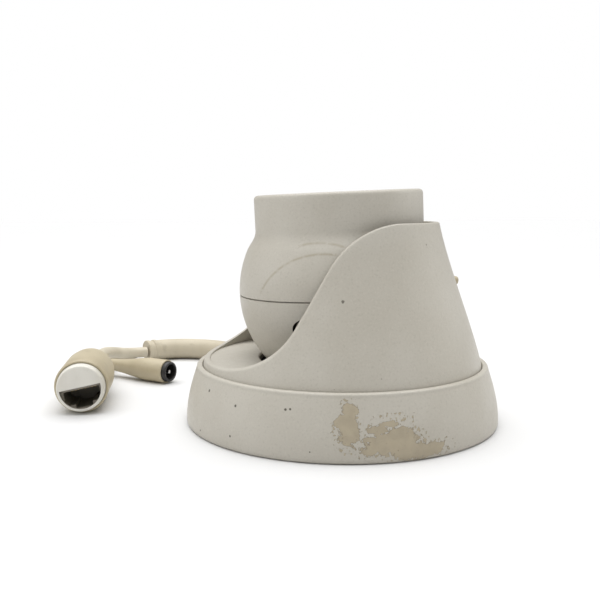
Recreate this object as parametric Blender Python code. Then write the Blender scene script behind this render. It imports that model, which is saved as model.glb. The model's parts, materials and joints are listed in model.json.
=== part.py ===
"""Turret CCTV camera standing on its base, with its pigtail of leads.

The base lies on z = 0 with its centre at the origin. The low side of the shroud faces -Y, and the eye
tilts towards -Y. The shroud pans about Z, the eye tilts about X and spins about its lens axis.
Sizes are in millimetres, and every mesh is made in metres through MM. Angles are in degrees.
"""

import math

import bmesh
import bpy
from mathutils import Matrix, Vector

MM = 0.001
GAP = 0.3  # between pieces that touch
ROUND = 40  # sides of a large turned piece
MEDIUM_ROUND = 24  # sides of a lens, a connector or a collar
SMALL_ROUND = 10  # sides of a screw, a pin or a hole
FLOOR_GAP = 0.05  # under what lies on z = 0
FAR = 60.0  # how far a cutter reaches past what it cuts

# Eye: two shells about the ball's centre, with a hood round the window.
BALL_R = 30.5
BALL_LIFT = 8.35  # under the ball
BALL_Z = BALL_LIFT + BALL_R
REST_LEAN = 2.4  # degrees towards -Y
SHELL_WALL = 2.3
SEAM = 0.5
HOOD_INSET = 5.6
HOOD_R = BALL_R - HOOD_INSET
HOOD_HEIGHT = 10.5
HOOD_WALL = 2.3
HOOD_BORE = HOOD_R - HOOD_WALL
NECK_SPREAD = 2.6
NECK_RISE = 5.2
NECK_Z = math.sqrt(BALL_R**2 - (HOOD_R + NECK_SPREAD) ** 2)
HOOD_FOOT = NECK_Z + NECK_RISE
HOOD_TOP = HOOD_FOOT + HOOD_HEIGHT
REBATE_R = BALL_R - 1.5
REBATE_Z = 1.1

# Behind the window, from the front to the back.
WINDOW_DEPTH = 5.9
WINDOW_THICK = 1.8
GASKET_THICK = 1.0
GASKET_WIDTH = 1.2
LEDGE_WIDTH = 1.8
THROAT_R = HOOD_BORE - LEDGE_WIDTH
WINDOW_Z = HOOD_TOP - WINDOW_DEPTH - WINDOW_THICK
GASKET_Z = WINDOW_Z - GAP - GASKET_THICK
LEDGE_Z = GASKET_Z - GAP
BOARD_THICK = 1.6
LED_BOARD_R = THROAT_R - 0.8
FOAM_HEIGHT = 5.5
FOAM_Z = WINDOW_Z - GAP - FOAM_HEIGHT
LED_BOARD_Z = FOAM_Z - GAP - BOARD_THICK
LED_R = 2.3
LED_FLANGE = 0.3
LED_MARGIN = 2.0
LED_PLACES = 12
LED_CIRCLE_R = LED_BOARD_R - LED_MARGIN - LED_R - LED_FLANGE
BARREL_R = 7.0
BARREL_WALL = 1.1
BARREL_TOP = WINDOW_Z - 1.0
BARREL_LENGTH = 14.7
LENS_SEAT = 3.7  # below the barrel's top
FOAM_BORE = BARREL_R + 1.4
FOAM_WALL = 2.0
HOLDER_WALL = 1.7
HOLDER_HEIGHT = 8.1
SENSOR_BOARD_Z = 0.0
SENSOR_BOARD_R = LED_BOARD_R - 0.5
CARRIER_WALL = 1.5
SINK_SIDE = 26.0
SINK_HEIGHT = 5.1
MAIN_BOARD_R = LED_BOARD_R - 1.0

# Screws that close the eye from behind, each in an open pocket of the rear shell.
SCREW_CIRCLE_R = BALL_R - 4.5
SCREW_TURNS = (-30.0, 90.0, 210.0)
POCKET_HALF = 2.5
POCKET_TOP = -4.85
BOSS_R = 3.7
FRONT_BOSS_R = 3.0
FRONT_BOSS_HEIGHT = 6.0
SHANK_R = 1.1
POLE_HOLE_R = 4.2
COLLAR_R = 9.0
COLLAR_WALL = 1.5

# Base and shroud.
SKIRT_FLARE = 11.1
SKIRT_R = BALL_R + SKIRT_FLARE
SHROUD_WALL = 1.8
RING_GAP = 0.4
RING_LIP = 1.5
RING_DRAFT = 3.2
RING_BORE = SKIRT_R + RING_GAP
LIP_R = RING_BORE + RING_LIP
BASE_R = LIP_R + RING_DRAFT
BASE_HEIGHT = 17.3
LEDGE_TOP = 11.0
LEDGE_THICK = 2.0
LEDGE_BORE = RING_BORE - 8.0
PLATE_THICK = 2.4
PLATE_R = RING_BORE + 0.2
PORT_R = 9.0
WASHER_THICK = 0.8
SKIRT_BOTTOM = LEDGE_TOP + WASHER_THICK + 2 * GAP
FLANGE_WIDTH = 2.3
FLANGE_THICK = 1.6
FLANGE_BORE = SKIRT_R - SHROUD_WALL - FLANGE_WIDTH
KEEPER_WALL = 2.0
FLOOR_TOP = BASE_HEIGHT + 1.4
DISH_LIP = 0.3
FLOOR_BORE = BALL_R - 5.8
SEAT_GAP = 0.5
SEAT_TOP = FLOOR_TOP - SHROUD_WALL - GAP
SEAT_HEIGHT = 2.1
SEAT_WALL = 4.0
SHROUD_TOP = BALL_Z + HOOD_FOOT + 1.75
SHROUD_TOP_R = HOOD_R + 1.7 + SHROUD_WALL
CUT_LOW_R = 26.6
CUT_HIGH_R = 24.5
CUT_FLAT_Y = 12.0
CABLE_SLOT_HALF = 10.0
LOCK_SCREW_R = 1.35
LOCK_SCREW_Z = BALL_Z + 2.15
SCREW_HEAD_R = 2.5
SCREW_HEAD_HEIGHT = 1.5
PLATE_SCREW_R = RING_BORE - 4.0
PLATE_SCREW_HOLE_R = 1.6
KEEPER_SCREW_HOLE_R = 0.85
PLATE_SCREW_TURNS = (60.0, 150.0, 270.0)
KEEPER_SCREW_TURNS = (0.0, 120.0, 240.0)
MOUNT_HOLE_R = 2.2
MOUNT_CIRCLE_R = 29.0
MOUNT_TURNS = (30.0, 150.0, 270.0)

# Pigtail: the cable leaves the ring through a grommet, and lies on z = 0.
EXIT_TURN = 197.0
SLEEVE_R = 4.1
INNER_CABLE_R = 2.4
GROMMET_HALF = 5.6
GROMMET_HEIGHT = 9.4
GROMMET_PROUD = 2.2
NET_LEAD_R = 2.1
DC_LEAD_R = 1.5
TUBE_SPACING = 1.8  # diameters between a tube's points
EXIT_REACH = BASE_R + GROMMET_PROUD
SLEEVE_Z = SLEEVE_R + FLOOR_GAP
SLEEVE_ROUTE = (
    (-57.6, -17.6, SLEEVE_Z),
    (-68.5, -20.9, SLEEVE_Z),
    (-79.2, -24.9, SLEEVE_Z),
    (-88.4, -31.0, SLEEVE_Z),
    (-94.9, -38.9, SLEEVE_Z),
    (-98.2, -48.0, SLEEVE_Z),
    (-97.6, -56.6, SLEEVE_Z),
    (-94.4, -63.6, SLEEVE_Z),
)
NET_ROUTE = (
    (-92.5, -63.5, 4.1),
    (-90.7, -67.9, 4.3),
    (-87.0, -71.9, 5.0),
    (-81.4, -75.1, 6.4),
    (-74.6, -77.4, 7.7),
    (-67.0, -78.8, 8.25),
)
DC_ROUTE = (
    (-96.3, -64.9, 3.4),
    (-94.9, -69.0, 2.5),
    (-94.1, -73.5, 1.8),
    (-92.9, -78.4, 1.6),
    (-90.0, -83.5, 1.6),
    (-85.1, -87.1, 1.6),
    (-79.6, -87.4, 1.7),
    (-75.4, -84.6, 2.3),
    (-72.6, -81.1, 3.2),
    (-70.4, -78.2, 4.0),
    (-68.6, -75.75, 4.25),
)

# Network socket head, turned about X with its face towards +X.
HEAD_Y = -79.0
HEAD_R = 8.25
HEAD_FACE_X = -14.3
HEAD_LENGTH = 24.0
BOOT_LENGTH = 20.0
BOOT_R = 3.4
INSERT_PROUD = 3.0
INSERT_R = 7.4
INSERT_DEPTH = 18.0
RECESS_R = 6.75
RECESS_DEPTH = 1.8
SOCKET_HALF = 5.5
SOCKET_TOP = -0.4
SOCKET_BOTTOM = -4.8
SOCKET_DEPTH = 13.0
LATCH_HALF = 2.6
LATCH_BOTTOM = -6.1
HEAD_ROLL = 11.0
CONTACTS = 8
CONTACT_PITCH = 1.02

# Power jack, turned about its own level axis, lying on its side.
JACK_FACE = (-52.2, -53.9)
JACK_TURN = math.degrees(math.atan2(0.8, 0.6))
JACK_R = 4.2
JACK_TAIL_R = 2.0
JACK_LENGTH = 27.0
JACK_BORE_R = 3.6
JACK_CORE_LENGTH = 12.0
JACK_CORE_PROUD = 2.4
PLUG_BORE_R = 2.75
PIN_R = 0.65


def clear_scene():
    for obj in list(bpy.data.objects):
        bpy.data.objects.remove(obj)


def material(name, colour, roughness, metallic=0.0):
    """A Principled material, made once and found again by its name."""
    if name in bpy.data.materials:
        return bpy.data.materials[name]
    made = bpy.data.materials.new(name)
    made.use_nodes = True
    shader = made.node_tree.nodes["Principled BSDF"]
    shader.inputs["Base Color"].default_value = (*colour, 1.0)
    shader.inputs["Roughness"].default_value = roughness
    shader.inputs["Metallic"].default_value = metallic
    return made


def shell_paint():
    return material("shell_paint", (0.66, 0.64, 0.58), 0.5)


def cream_plastic():
    return material("cream_plastic", (0.60, 0.54, 0.42), 0.5)


def lead_sheath():
    return material("lead_sheath", (0.58, 0.56, 0.52), 0.5)


def white_plastic():
    return material("white_plastic", (0.74, 0.70, 0.64), 0.45)


def black_plastic():
    return material("black_plastic", (0.02, 0.02, 0.02), 0.45)


def black_rubber():
    return material("black_rubber", (0.015, 0.015, 0.015), 0.8)


def dark_glass():
    return material("dark_glass", (0.01, 0.01, 0.012), 0.05)


def board_green():
    return material("board_green", (0.02, 0.12, 0.05), 0.5)


def steel():
    return material("steel", (0.55, 0.55, 0.55), 0.3, 1.0)


def gold():
    return material("gold", (0.8, 0.6, 0.25), 0.3, 1.0)


def aluminium():
    return material("aluminium", (0.6, 0.6, 0.62), 0.35, 1.0)


def joint_axis(name, place, lean=0.0):
    """An empty on a joint's axis, leaning about X towards -Y."""
    empty = bpy.data.objects.new(name, None)
    bpy.context.collection.objects.link(empty)
    empty.location = Vector(place) * MM
    empty.rotation_euler = (math.radians(lean), 0.0, 0.0)
    return empty


def finished(mesh_maker, name, finish, parent=None, place=Matrix()):
    """Makes an object of a bmesh in millimetres, placed by a matrix in millimetres under its parent."""
    bmesh.ops.scale(mesh_maker, vec=(MM, MM, MM), verts=mesh_maker.verts)
    mesh = bpy.data.meshes.new(name)
    mesh_maker.to_mesh(mesh)
    mesh_maker.free()
    mesh.shade_smooth()
    mesh.set_sharp_from_angle(angle=math.radians(30))
    obj = bpy.data.objects.new(name, mesh)
    bpy.context.collection.objects.link(obj)
    obj.data.materials.append(finish)
    obj.parent = parent
    obj.matrix_basis = Matrix.Translation(place.translation * MM) @ place.to_3x3().to_4x4()
    return obj


def turned(profile, sides=ROUND):
    """A profile of (radius, height) points turned about Z. One that starts and ends on the axis is solid."""
    made = bmesh.new()
    corners = [made.verts.new((radius, 0.0, height)) for radius, height in profile]
    runs = [made.edges.new(pair) for pair in zip(corners, corners[1:])]
    if profile[0][0] > 0 or profile[-1][0] > 0:
        runs.append(made.edges.new((corners[-1], corners[0])))
    bmesh.ops.spin(
        made,
        geom=corners + runs,
        cent=(0, 0, 0),
        axis=(0, 0, 1),
        angle=math.tau,
        steps=sides,
        use_merge=True,
    )
    on_axis = [vert for vert in made.verts if vert.co.x**2 + vert.co.y**2 < 1e-8]
    bmesh.ops.remove_doubles(made, verts=on_axis, dist=1e-3)
    bmesh.ops.recalc_face_normals(made, faces=made.faces)
    return made


def disc(radius, bottom, top):
    return [(0, bottom), (radius, bottom), (radius, top), (0, top)]


def ring(bore, radius, bottom, top):
    return [(bore, bottom), (radius, bottom), (radius, top), (bore, top)]


def extruded(outline, start, end, direction=Matrix()):
    """An outline of (x, y) points run from start to end along Z, then turned by direction."""
    made = bmesh.new()
    face = made.faces.new([made.verts.new((x, y, start)) for x, y in outline])
    grown = bmesh.ops.extrude_face_region(made, geom=[face])
    moved = [part for part in grown["geom"] if isinstance(part, bmesh.types.BMVert)]
    bmesh.ops.translate(made, verts=moved, vec=(0, 0, end - start))
    bmesh.ops.recalc_face_normals(made, faces=made.faces)
    bmesh.ops.transform(made, matrix=direction, verts=made.verts)
    return made


# Turns an outline's X to +Y and its Y to +Z, so that it runs along +X.
ALONG_X = Matrix(((0, 0, 1, 0), (1, 0, 0, 0), (0, 1, 0, 0), (0, 0, 0, 1)))


def box(low, high):
    outline = [(low[0], low[1]), (high[0], low[1]), (high[0], high[1]), (low[0], high[1])]
    return extruded(outline, low[2], high[2])


def comb(teeth, pitch, tooth, spine, depth):
    """The outline of a comb along X: its spine lies from 0 to spine in Y, its teeth point down to -depth."""
    half = (teeth - 1) * pitch / 2 + tooth / 2
    outline = [(half, spine), (-half, spine)]
    for index in range(teeth):
        left = -half + index * pitch
        outline += [(left, -depth), (left + tooth, -depth)]
        if index < teeth - 1:
            outline += [(left + tooth, 0), (left + pitch, 0)]
    return outline


def arc(centre, radius, start, end, steps):
    """Points on an arc, from the start angle to the end angle."""
    angles = [math.radians(start + (end - start) * step / steps) for step in range(steps + 1)]
    return [(centre[0] + radius * math.cos(a), centre[1] + radius * math.sin(a)) for a in angles]


def bezier(first, pull, push, last, steps):
    """Points on a cubic curve."""
    points = []
    for step in range(steps + 1):
        t = step / steps
        weights = ((1 - t) ** 3, 3 * t * (1 - t) ** 2, 3 * t * t * (1 - t), t**3)
        points.append(
            tuple(sum(w * p[k] for w, p in zip(weights, (first, pull, push, last))) for k in (0, 1))
        )
    return points


def sphere_profile(radius, low, high, steps):
    """Points on a sphere's outline between two heights."""
    turns = [math.degrees(math.asin(height / radius)) for height in (low, high)]
    return arc((0, 0), radius, turns[0], turns[1], steps)


def combine(obj, tool, operation):
    """Adds a Boolean with a helper object, which isn't a piece itself."""
    tool.hide_render = True
    tool.display_type = "WIRE"
    modifier = obj.modifiers.new(operation.lower(), "BOOLEAN")
    modifier.operation = operation
    modifier.solver = "EXACT"
    modifier.object = tool


def gathered(tools):
    """One bmesh of several (bmesh, place) tools that don't touch each other."""
    whole = bmesh.new()
    for made, place in tools:
        bmesh.ops.transform(made, matrix=place, verts=made.verts)
        step = bpy.data.meshes.new("step")
        made.to_mesh(step)
        made.free()
        whole.from_mesh(step)
        bpy.data.meshes.remove(step)
    return whole


def cut(obj, tools, parent=None):
    """Takes every (bmesh, place) tool out of an object at once."""
    name = f"cutter_{obj.name}"
    combine(obj, finished(gathered(tools), name, obj.data.materials[0], parent), "DIFFERENCE")


def add_bosses(obj, tools, parent=None, trim_r=None):
    """Joins bosses to an object, after trimming them by a ball about the parent's origin."""
    name = f"bosses_{obj.name}"
    bosses = finished(gathered(tools), name, obj.data.materials[0], parent)
    if trim_r:
        ball = turned([(0, -trim_r), *arc((0, 0), trim_r, -80, 80, 12), (0, trim_r)])
        combine(bosses, finished(ball, f"{name}_trim", obj.data.materials[0], parent), "INTERSECT")
    combine(obj, bosses, "UNION")


def around(turn, radius=0.0, height=0.0):
    """The place at a turn about Z, at a radius and a height, with its own X pointing outwards."""
    return Matrix.Rotation(math.radians(turn), 4, "Z") @ Matrix.Translation((radius, 0, height))


def smooth_route(points, spacing):
    """Points along one smooth curve through the route's points, about a spacing apart."""
    knots = [Vector(point) for point in points]
    knots = [2 * knots[0] - knots[1], *knots, 2 * knots[-1] - knots[-2]]
    route = []
    for before, start, end, after in zip(knots, knots[1:], knots[2:], knots[3:]):
        steps = max(1, round((end - start).length / spacing))
        for step in range(steps):
            t = step / steps
            route.append(
                0.5
                * (
                    2 * start
                    + (end - before) * t
                    + (2 * before - 5 * start + 4 * end - after) * t**2
                    + (3 * start - before - 3 * end + after) * t**3
                )
            )
    return [*route, knots[-2]]


def tube(name, points, radius, finish):
    """A cable along a route, with closed ends."""
    curve = bpy.data.curves.new(name, "CURVE")
    curve.dimensions = "3D"
    curve.bevel_depth = radius * MM
    curve.bevel_resolution = 2
    curve.use_fill_caps = True
    route = smooth_route(points, TUBE_SPACING * 2 * radius)
    spline = curve.splines.new("POLY")
    spline.points.add(len(route) - 1)
    for point, place in zip(spline.points, route):
        point.co = (*(place * MM), 1.0)
    curve.materials.append(finish)
    obj = bpy.data.objects.new(name, curve)
    bpy.context.collection.objects.link(obj)
    return obj


def screw_profile(head_r, head_height, shank_r, length):
    """A screw along Z: its head lies from 0 to -head_height, its shank points up."""
    return [
        (0, -head_height),
        (head_r * 0.7, -head_height),
        (head_r, -head_height * 0.6),
        (head_r, 0),
        (shank_r, 0),
        (shank_r, length),
        (0, length),
    ]


# Base


def notch_outline():
    """The grommet's opening in the ring, seen along the cable: flat sides under a round top."""
    half = GROMMET_HALF + GAP
    return arch_outline(half, GROMMET_HEIGHT + GAP, -1.0)


def arch_outline(half, height, bottom):
    crown = arc((0, height - half), half, 0, 180, 8)
    return [(half, bottom), *crown, (-half, bottom)]


def along_exit():
    """Turns an outline's Y up and its run along the cable's exit."""
    return Matrix.Rotation(math.radians(EXIT_TURN), 4, "Z") @ ALONG_X


def base_ring():
    wall = bezier(
        (BASE_R, 2.2), (BASE_R - 0.3, 7.0), (LIP_R + 1.3, BASE_HEIGHT - 5.0), (LIP_R, BASE_HEIGHT - 0.9), 5
    )
    profile = [
        (PLATE_R + GAP, 0),
        (BASE_R - 0.9, 0),
        (BASE_R - 0.1, 0.8),
        *wall,
        (LIP_R - 0.5, BASE_HEIGHT - 0.2),
        (RING_BORE + 0.3, BASE_HEIGHT),
        (RING_BORE, BASE_HEIGHT - 0.4),
        (RING_BORE, LEDGE_TOP),
        (LEDGE_BORE, LEDGE_TOP),
        (LEDGE_BORE, LEDGE_TOP - LEDGE_THICK),
        (PLATE_R + GAP, LEDGE_TOP - LEDGE_THICK),
    ]
    obj = finished(turned(profile), "base_ring", shell_paint())
    ledge_middle = LEDGE_TOP - LEDGE_THICK / 2
    boss = disc(BOSS_R - 0.5, PLATE_THICK + GAP, ledge_middle)
    add_bosses(obj, [(turned(boss, SMALL_ROUND), around(turn, PLATE_SCREW_R)) for turn in PLATE_SCREW_TURNS])
    keeper_r = keeper_screw_radius()
    blind = disc(PLATE_SCREW_HOLE_R, 0, ledge_middle - 0.6)
    through = disc(PLATE_SCREW_HOLE_R, LEDGE_TOP - LEDGE_THICK - 1, LEDGE_TOP + 1)
    cut(
        obj,
        [
            *[(turned(blind, SMALL_ROUND), around(turn, PLATE_SCREW_R)) for turn in PLATE_SCREW_TURNS],
            *[(turned(through, SMALL_ROUND), around(turn, keeper_r)) for turn in KEEPER_SCREW_TURNS],
            (extruded(notch_outline(), LEDGE_BORE + 2, BASE_R + FAR, along_exit()), Matrix()),
        ],
    )


def base_plate():
    obj = finished(turned(ring(PORT_R, PLATE_R, 0, PLATE_THICK)), "base_plate", aluminium())
    mount_hole = disc(MOUNT_HOLE_R, -1, PLATE_THICK + 1)
    sunk_r = SCREW_HEAD_R + GAP
    sunk_z = SCREW_HEAD_HEIGHT + 2 * GAP
    screw_hole = [
        (0, -1),
        (sunk_r, -1),
        (sunk_r, sunk_z),
        (PLATE_SCREW_HOLE_R, sunk_z),
        (PLATE_SCREW_HOLE_R, PLATE_THICK + 1),
        (0, PLATE_THICK + 1),
    ]
    half = GROMMET_HALF + GAP
    cut(
        obj,
        [
            *[(turned(mount_hole, SMALL_ROUND), around(turn, MOUNT_CIRCLE_R)) for turn in MOUNT_TURNS],
            *[(turned(screw_hole, SMALL_ROUND), around(turn, PLATE_SCREW_R)) for turn in PLATE_SCREW_TURNS],
            (box((PORT_R - 3, -half, -1), (PLATE_R + 5, half, PLATE_THICK + 1)), around(EXIT_TURN)),
        ],
    )


def keeper_bore():
    return FLANGE_BORE - GAP - KEEPER_WALL


def keeper_screw_radius():
    return keeper_bore() + KEEPER_WALL / 2 + 0.1


def keeper_top():
    return SKIRT_BOTTOM + FLANGE_THICK + GAP + FLANGE_THICK


def shroud_hold_down():
    """The glide washer under the skirt and the ring that keeps the skirt's flange down."""
    washer = ring(FLANGE_BORE, SKIRT_R, LEDGE_TOP + GAP, LEDGE_TOP + GAP + WASHER_THICK)
    finished(turned(washer), "pan_washer", black_plastic())
    lip = SKIRT_BOTTOM + FLANGE_THICK + GAP
    profile = [
        (keeper_bore(), LEDGE_TOP + GAP),
        (FLANGE_BORE - GAP, LEDGE_TOP + GAP),
        (FLANGE_BORE - GAP, lip),
        (SKIRT_R - SHROUD_WALL - RING_GAP, lip),
        (SKIRT_R - SHROUD_WALL - RING_GAP, keeper_top()),
        (keeper_bore(), keeper_top()),
    ]
    obj = finished(turned(profile, MEDIUM_ROUND), "shroud_keeper", aluminium())
    hole = disc(KEEPER_SCREW_HOLE_R, 0, keeper_top() - 1.0)
    places = [around(turn, keeper_screw_radius()) for turn in KEEPER_SCREW_TURNS]
    cut(obj, [(turned(hole, SMALL_ROUND), place) for place in places])


def base_screws():
    for index, turn in enumerate(PLATE_SCREW_TURNS, 1):
        profile = screw_profile(SCREW_HEAD_R, SCREW_HEAD_HEIGHT, 1.2, 6.0)
        place = around(turn, PLATE_SCREW_R, SCREW_HEAD_HEIGHT + GAP)
        finished(turned(profile, SMALL_ROUND), f"plate_screw_{index}", steel(), None, place)
    for index, turn in enumerate(KEEPER_SCREW_TURNS, 1):
        top = LEDGE_TOP - LEDGE_THICK - GAP
        length = keeper_top() - 1.5 - top
        profile = screw_profile(1.9, 1.2, 0.5, length)
        place = around(turn, keeper_screw_radius(), top)
        finished(turned(profile, SMALL_ROUND), f"keeper_screw_{index}", steel(), None, place)


def cable_grommet():
    outline = arch_outline(GROMMET_HALF, GROMMET_HEIGHT, GAP)
    made = extruded(outline, LEDGE_BORE + 2 + 2 * GAP, EXIT_REACH, along_exit())
    finished(made, "cable_grommet", black_rubber())


# Shroud


def shroud_outline():
    """The shroud's outer wall, from the skirt up to the top of its uncut cone."""
    foot = (SKIRT_R, BASE_HEIGHT - 0.3)
    top = (SHROUD_TOP_R, SHROUD_TOP + 1)
    pull = (SKIRT_R - 2.4, foot[1] + 11)
    push = (SHROUD_TOP_R + 2.2, top[1] - 12)
    return bezier(foot, pull, push, top, 9)


def shroud_cut_outline():
    """What the sweeping cut takes away, seen along X as (y, z) points."""
    low = (-(SKIRT_R - 0.6), FLOOR_TOP + DISH_LIP + CUT_LOW_R)
    high = (CUT_FLAT_Y, SHROUD_TOP - CUT_HIGH_R)
    run, rise = high[0] - low[0], high[1] - low[1]
    spread = math.degrees(math.acos((CUT_LOW_R + CUT_HIGH_R) / math.hypot(run, rise)))
    tangent = math.degrees(math.atan2(rise, run)) - spread
    return [
        (-FAR * 2, FLOOR_TOP + DISH_LIP),
        *arc(low, CUT_LOW_R, -90, tangent, 8),
        *arc(high, CUT_HIGH_R, tangent + 180, 90, 7),
        (FAR * 2, SHROUD_TOP),
        (FAR * 2, SHROUD_TOP + FAR),
        (-FAR * 2, SHROUD_TOP + FAR),
    ]


def cable_slot(inner, outer, bottom, top):
    return box((-CABLE_SLOT_HALF, inner, bottom), (CABLE_SLOT_HALF, outer, top))


def shroud(pan):
    wall = shroud_outline()
    inside = [(radius - SHROUD_WALL, height) for radius, height in reversed(wall) if height > FLOOR_TOP + 1]
    inner_r = SKIRT_R - SHROUD_WALL
    profile = [
        (SKIRT_R, SKIRT_BOTTOM),
        *wall,
        *inside,
        (inner_r - 0.35, FLOOR_TOP),
        (FLOOR_BORE, FLOOR_TOP),
        (FLOOR_BORE, FLOOR_TOP - SHROUD_WALL),
        (inner_r, FLOOR_TOP - SHROUD_WALL),
        (inner_r, SKIRT_BOTTOM + FLANGE_THICK),
        (FLANGE_BORE, SKIRT_BOTTOM + FLANGE_THICK),
        (FLANGE_BORE, SKIRT_BOTTOM),
    ]
    obj = finished(turned(profile), "shroud", shell_paint(), pan)
    reach = SKIRT_R - SHROUD_WALL - 2.0
    slot = cable_slot(FLOOR_BORE - 5, reach, FLOOR_TOP - SHROUD_WALL - 1, FLOOR_TOP + 1)
    hole = turned(disc(LOCK_SCREW_R + GAP, BALL_R - 2, SKIRT_R + 5), SMALL_ROUND)
    sweep = extruded(shroud_cut_outline(), -FAR * 2, FAR * 2, ALONG_X)
    cut(obj, [(sweep, Matrix()), (slot, Matrix()), (hole, lock_screw_place())], pan)


def lock_screw_place():
    """On the shroud's back, with the screw's run pointing outwards along +Y."""
    return Matrix.Translation((0, 0, LOCK_SCREW_Z)) @ Matrix.Rotation(math.radians(-90), 4, "X")


def shroud_back_radius(height):
    """The outer wall's radius at a height, between the outline's points."""
    outline = shroud_outline()
    for (low_r, low_z), (high_r, high_z) in zip(outline, outline[1:]):
        if low_z <= height <= high_z:
            return low_r + (high_r - low_r) * (height - low_z) / (high_z - low_z)
    return SHROUD_TOP_R


def lock_screw(pan):
    end = shroud_back_radius(LOCK_SCREW_Z) + 1.6
    start = BALL_R + SEAT_GAP
    tip = LOCK_SCREW_R * 0.6
    profile = [
        (0, start),
        (tip, start),
        (LOCK_SCREW_R, start + 0.6),
        (LOCK_SCREW_R, end - 0.4),
        (LOCK_SCREW_R - 0.35, end),
        (0, end),
    ]
    obj = finished(turned(profile, SMALL_ROUND), "lock_screw", steel(), pan, lock_screw_place())
    key = extruded(arc((0, 0), 0.75, 0, 300, 5), end - 1.2, end + 1)
    cut(obj, [(key, lock_screw_place())], pan)


def ball_seat_ring(pan):
    """A ring of rubber under the shroud's floor, whose bore follows the ball."""
    heights = (SEAT_TOP, SEAT_TOP - SEAT_HEIGHT)
    bores = [math.sqrt((BALL_R + SEAT_GAP) ** 2 - (BALL_Z - height) ** 2) for height in heights]
    profile = [
        (bores[0], SEAT_TOP),
        (bores[1], SEAT_TOP - SEAT_HEIGHT),
        (FLOOR_BORE + SEAT_WALL, SEAT_TOP - SEAT_HEIGHT),
        (FLOOR_BORE + SEAT_WALL, SEAT_TOP),
    ]
    obj = finished(turned(profile), "ball_seat_ring", black_rubber(), pan)
    cut(obj, [(cable_slot(5, FAR, SEAT_TOP - SEAT_HEIGHT - 1, SEAT_TOP + 1), Matrix())], pan)


# Eye, about the ball's centre with the lens axis up


def swivel_collar(tilt):
    inner, outer = BALL_R + SEAT_GAP, BALL_R + SEAT_GAP + COLLAR_WALL
    bore = POLE_HOLE_R + GAP
    profile = [
        (bore, -math.sqrt(inner**2 - bore**2)),
        (COLLAR_R, -math.sqrt(inner**2 - COLLAR_R**2)),
        (COLLAR_R, -math.sqrt(outer**2 - COLLAR_R**2)),
        (bore, -math.sqrt(outer**2 - bore**2)),
    ]
    finished(turned(profile, MEDIUM_ROUND), "swivel_collar", black_plastic(), tilt)


def front_shell(spin):
    inner = BALL_R - SHELL_WALL
    throat_z = HOOD_FOOT
    profile = [
        *sphere_profile(BALL_R, SEAM / 2, NECK_Z, 3),
        (HOOD_R + NECK_SPREAD * 0.55, NECK_Z + NECK_RISE * 0.34),
        (HOOD_R + NECK_SPREAD * 0.22, NECK_Z + NECK_RISE * 0.64),
        (HOOD_R, HOOD_FOOT),
        (HOOD_R, HOOD_TOP - 0.9),
        (HOOD_R - 0.25, HOOD_TOP - 0.25),
        (HOOD_R - 0.9, HOOD_TOP),
        (HOOD_BORE + 0.5, HOOD_TOP),
        (HOOD_BORE, HOOD_TOP - 0.5),
        (HOOD_BORE, LEDGE_Z),
        (THROAT_R, LEDGE_Z),
        (THROAT_R, throat_z),
        *sphere_profile(inner, REBATE_Z, inner * 0.57, 3)[::-1],
        (REBATE_R, REBATE_Z),
        (REBATE_R, SEAM / 2),
    ]
    obj = finished(turned(profile), "eye_front_shell", shell_paint(), spin)
    boss = disc(FRONT_BOSS_R, REBATE_Z + 0.2, FRONT_BOSS_HEIGHT + REBATE_Z)
    hole = disc(SHANK_R + GAP, 0, FRONT_BOSS_HEIGHT)
    add_bosses(obj, around_screws(boss), spin, BALL_R - SHELL_WALL / 2)
    cut(obj, around_screws(hole), spin)


def around_screws(profile):
    """A turned tool at each of the eye's screws."""
    return [(turned(profile, SMALL_ROUND), around(turn, SCREW_CIRCLE_R)) for turn in SCREW_TURNS]


def pocket_outline():
    """A screw pocket seen along the lens axis: round inside, open outwards."""
    crown = arc((SCREW_CIRCLE_R, 0), POCKET_HALF, 90, 270, 8)
    return [*crown, (BALL_R + 5, -POCKET_HALF), (BALL_R + 5, POCKET_HALF)]


def rear_shell(spin):
    inner = BALL_R - SHELL_WALL
    pole = -math.sqrt(BALL_R**2 - POLE_HOLE_R**2)
    inner_pole = -math.sqrt(inner**2 - POLE_HOLE_R**2)
    profile = [
        (REBATE_R, -SEAM / 2),
        (REBATE_R, -REBATE_Z),
        *sphere_profile(inner, inner_pole, -REBATE_Z, 6)[::-1],
        *sphere_profile(BALL_R, pole, -SEAM / 2, 7),
    ]
    obj = finished(turned(profile), "eye_rear_shell", shell_paint(), spin)
    boss = disc(BOSS_R, -BALL_R, -REBATE_Z - 0.2)
    add_bosses(obj, around_screws(boss), spin, BALL_R - SHELL_WALL / 2)
    pockets = [(extruded(pocket_outline(), -FAR, POCKET_TOP), around(turn)) for turn in SCREW_TURNS]
    cut(obj, pockets, spin)
    hole = disc(SHANK_R + GAP, POCKET_TOP - 1, 0)
    name = f"holes_{obj.name}"
    holes = finished(gathered(around_screws(hole)), name, shell_paint(), spin)
    combine(obj, holes, "DIFFERENCE")


def shell_screws(spin):
    for index, turn in enumerate(SCREW_TURNS, 1):
        head_top = POCKET_TOP - GAP
        profile = screw_profile(POCKET_HALF - 0.4, 1.8, SHANK_R, FRONT_BOSS_HEIGHT - 1.0 - head_top)
        place = around(turn, SCREW_CIRCLE_R, head_top)
        finished(turned(profile, SMALL_ROUND), f"shell_screw_{index}", steel(), spin, place)


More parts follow.
